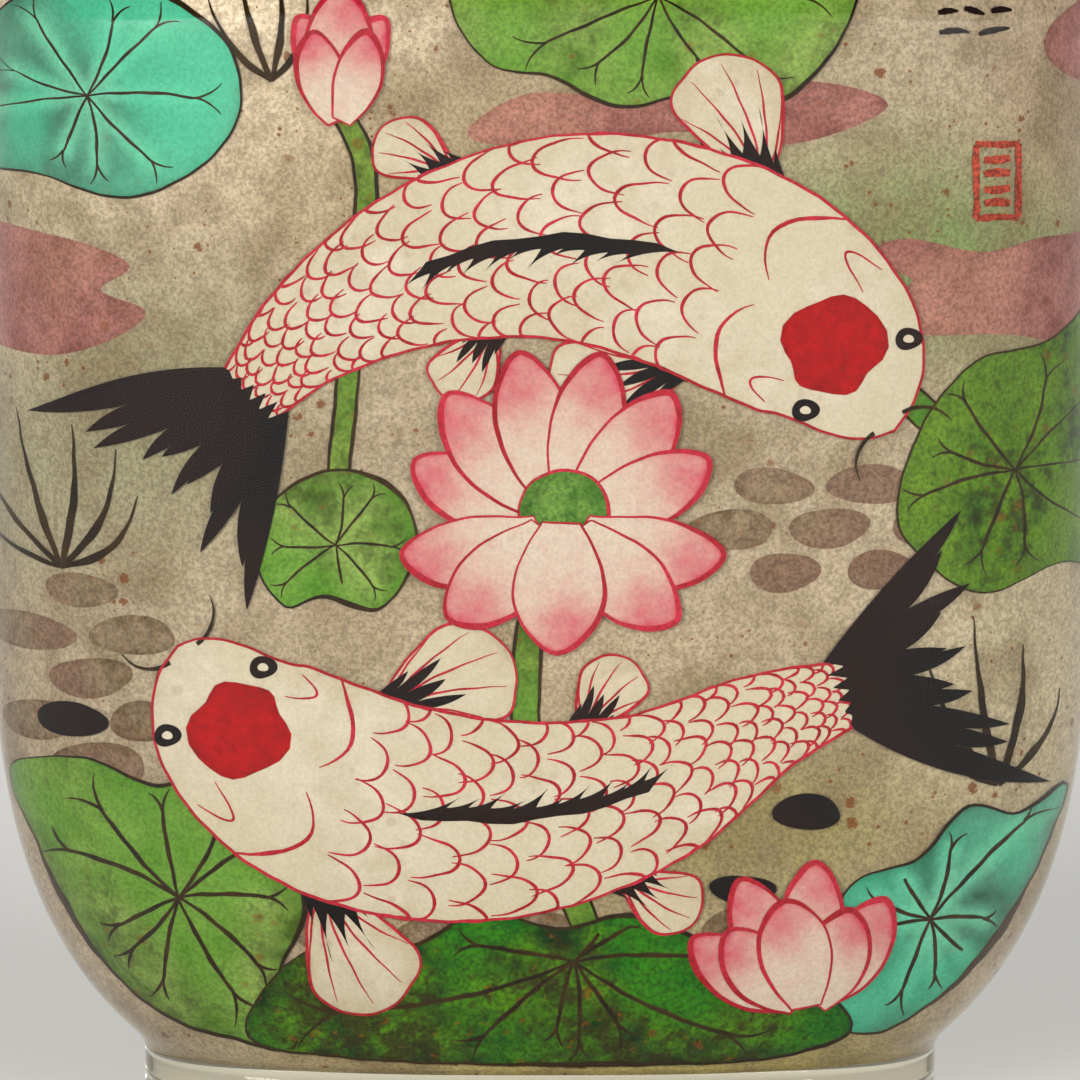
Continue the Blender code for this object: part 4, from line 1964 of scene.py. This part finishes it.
@dataclass
class Stopper:
    """The lift-off stopper: a green glass dome on a horn collar, over a cork plug."""

    neck_radius: float = 6.2
    bore_radius: float = 3.5
    lip: float = 73.0
    gap: float = 0.3
    overhang: float = 0.2
    collar_height: float = 1.4
    collar_edge: float = 0.4
    setback: float = 0.7
    cap_rim: float = 1.2
    cap_dome: float = 7.2
    cap_squareness: float = 2.2
    cork_length: float = 6.2
    cork_taper: float = 0.2
    around: int = 96
    rows: int = 24

    def build(self) -> None:
        """Builds and dresses the three pieces."""
        collar, bottom = self.neck_radius + self.overhang, self.lip + self.gap
        top, edge = bottom + self.collar_height, self.collar_edge
        rings = [
            *rounded(disc(collar - edge, bottom), disc(collar, bottom), disc(collar, bottom + edge), 6),
            *rounded(disc(collar, top - edge), disc(collar, top), disc(collar - edge, top), 6),
        ]
        horn = loft("horn_collar", rings, self.around)
        placed(horn, DarkHorn().material(), "dark_collar", "stopper_collar")
        cork = self.bore_radius - self.gap
        rings = [
            *rounded(
                disc(cork - self.cork_taper - 0.3, self.lip - self.cork_length),
                disc(cork - self.cork_taper, self.lip - self.cork_length),
                disc(cork - self.cork_taper, self.lip - self.cork_length + 0.3),
                4,
            ),
            disc(cork, self.lip),
        ]
        placed(loft("cork_plug", rings, self.around), Cork().material(), "cork", "stopper_cork")
        radius, base = collar - self.setback, top + self.gap
        quarter = np.linspace(0, math.pi / 2, self.rows)[:-1]
        share = 2 / self.cap_squareness
        rings = [*rounded(disc(radius - 0.25, base), disc(radius, base), disc(radius, base + 0.25), 4)]
        for angle in quarter:
            rise = self.cap_rim + self.cap_dome * math.sin(angle) ** share
            rings.append(disc(radius * math.cos(angle) ** share, base + rise))
        rings.append(disc(radius * 0.01, base + self.cap_rim + self.cap_dome))
        placed(loft("green_cap", rings, self.around), GreenGlass().material(), "green_glass", "stopper_cap")


# The studio


@dataclass
class Studio:
    """A pale floor, soft lights and the camera."""

    floor_size: float = 3.0
    sensor: float = 36.0
    LAMPS = (  # name, place, side in metres, watts
        ("key", (-0.72, -0.86, 0.37), 0.50, 11.4),
        ("fill", (0.86, -0.72, 0.36), 0.50, 8.8),
        ("top", (0.05, 0.40, 0.62), 0.40, 2.2),
    )

    def build(self) -> None:
        """Sets up the floor, the light and the camera."""
        self.floor()
        self.sky()
        for lamp in self.LAMPS:
            self.softbox(*lamp)
        self.camera()

    def floor(self) -> None:
        """Lays the pale floor under the bottle."""
        bpy.ops.mesh.primitive_plane_add(size=self.floor_size, location=(0, 0, 0))
        floor = bpy.context.object
        floor.name = "floor"
        material, _, shader = start_material("pale_floor")
        shader.inputs["Base Color"].default_value = linear("#dcdad5")
        shader.inputs["Roughness"].default_value = 0.9
        floor.data.materials.append(material)

    def sky(self) -> None:
        """Makes the soft light that comes from all round."""
        world = bpy.data.worlds.new("studio")
        world.use_nodes = True
        background = world.node_tree.nodes["Background"]
        background.inputs["Color"].default_value = linear("#eef0f2")
        background.inputs["Strength"].default_value = 0.24
        bpy.context.scene.world = world

    def softbox(self, name: str, place: tuple[float, float, float], size: float, power: float) -> None:
        """Hangs a square soft light that faces the bottle.

        Args:
            name: its name.
            place: where it hangs, in metres.
            size: its side, in metres.
            power: its power, in watts.
        """
        lamp = bpy.data.lights.new(name, "AREA")
        lamp.shape, lamp.size, lamp.energy = "SQUARE", size, power
        holder = linked(name, lamp)
        holder.location = place
        towards = Vector((0, 0, VIEW_MIDDLE * MM)) - Vector(place)
        holder.rotation_euler = towards.to_track_quat("-Z", "Y").to_euler()

    def camera(self) -> None:
        """Places the camera where the photograph's eye was."""
        lens = bpy.data.cameras.new("eye")
        lens.sensor_width = self.sensor
        lens.lens = self.sensor * EYE_DISTANCE / VIEW_WIDTH
        lens.clip_start, lens.clip_end = 0.01, 20
        eye = linked("eye", lens)
        back = Vector((0, -math.cos(TILT), math.sin(TILT))) * EYE_DISTANCE * MM
        eye.location = Vector((0, 0, VIEW_MIDDLE * MM)) + back
        eye.rotation_euler = (-back).to_track_quat("-Z", "Y").to_euler()
        bpy.context.scene.camera = eye


def main() -> None:
    """Builds the bottle, its picture, its stopper and the studio in order."""
    logging.basicConfig(level=logging.INFO, format="%(name)s %(message)s")
    bpy.context.scene.view_settings.view_transform = "Standard"
    bottle = GlassBottle()
    bottle.build()
    wall = InsideWall(bottle)
    Ground(wall).build()
    FrontPicture(wall, Face.FRONT).build()
    BackPicture(wall, Face.BACK).build()
    Stopper().build()
    Studio().build()


if __name__ == "__main__":
    main()
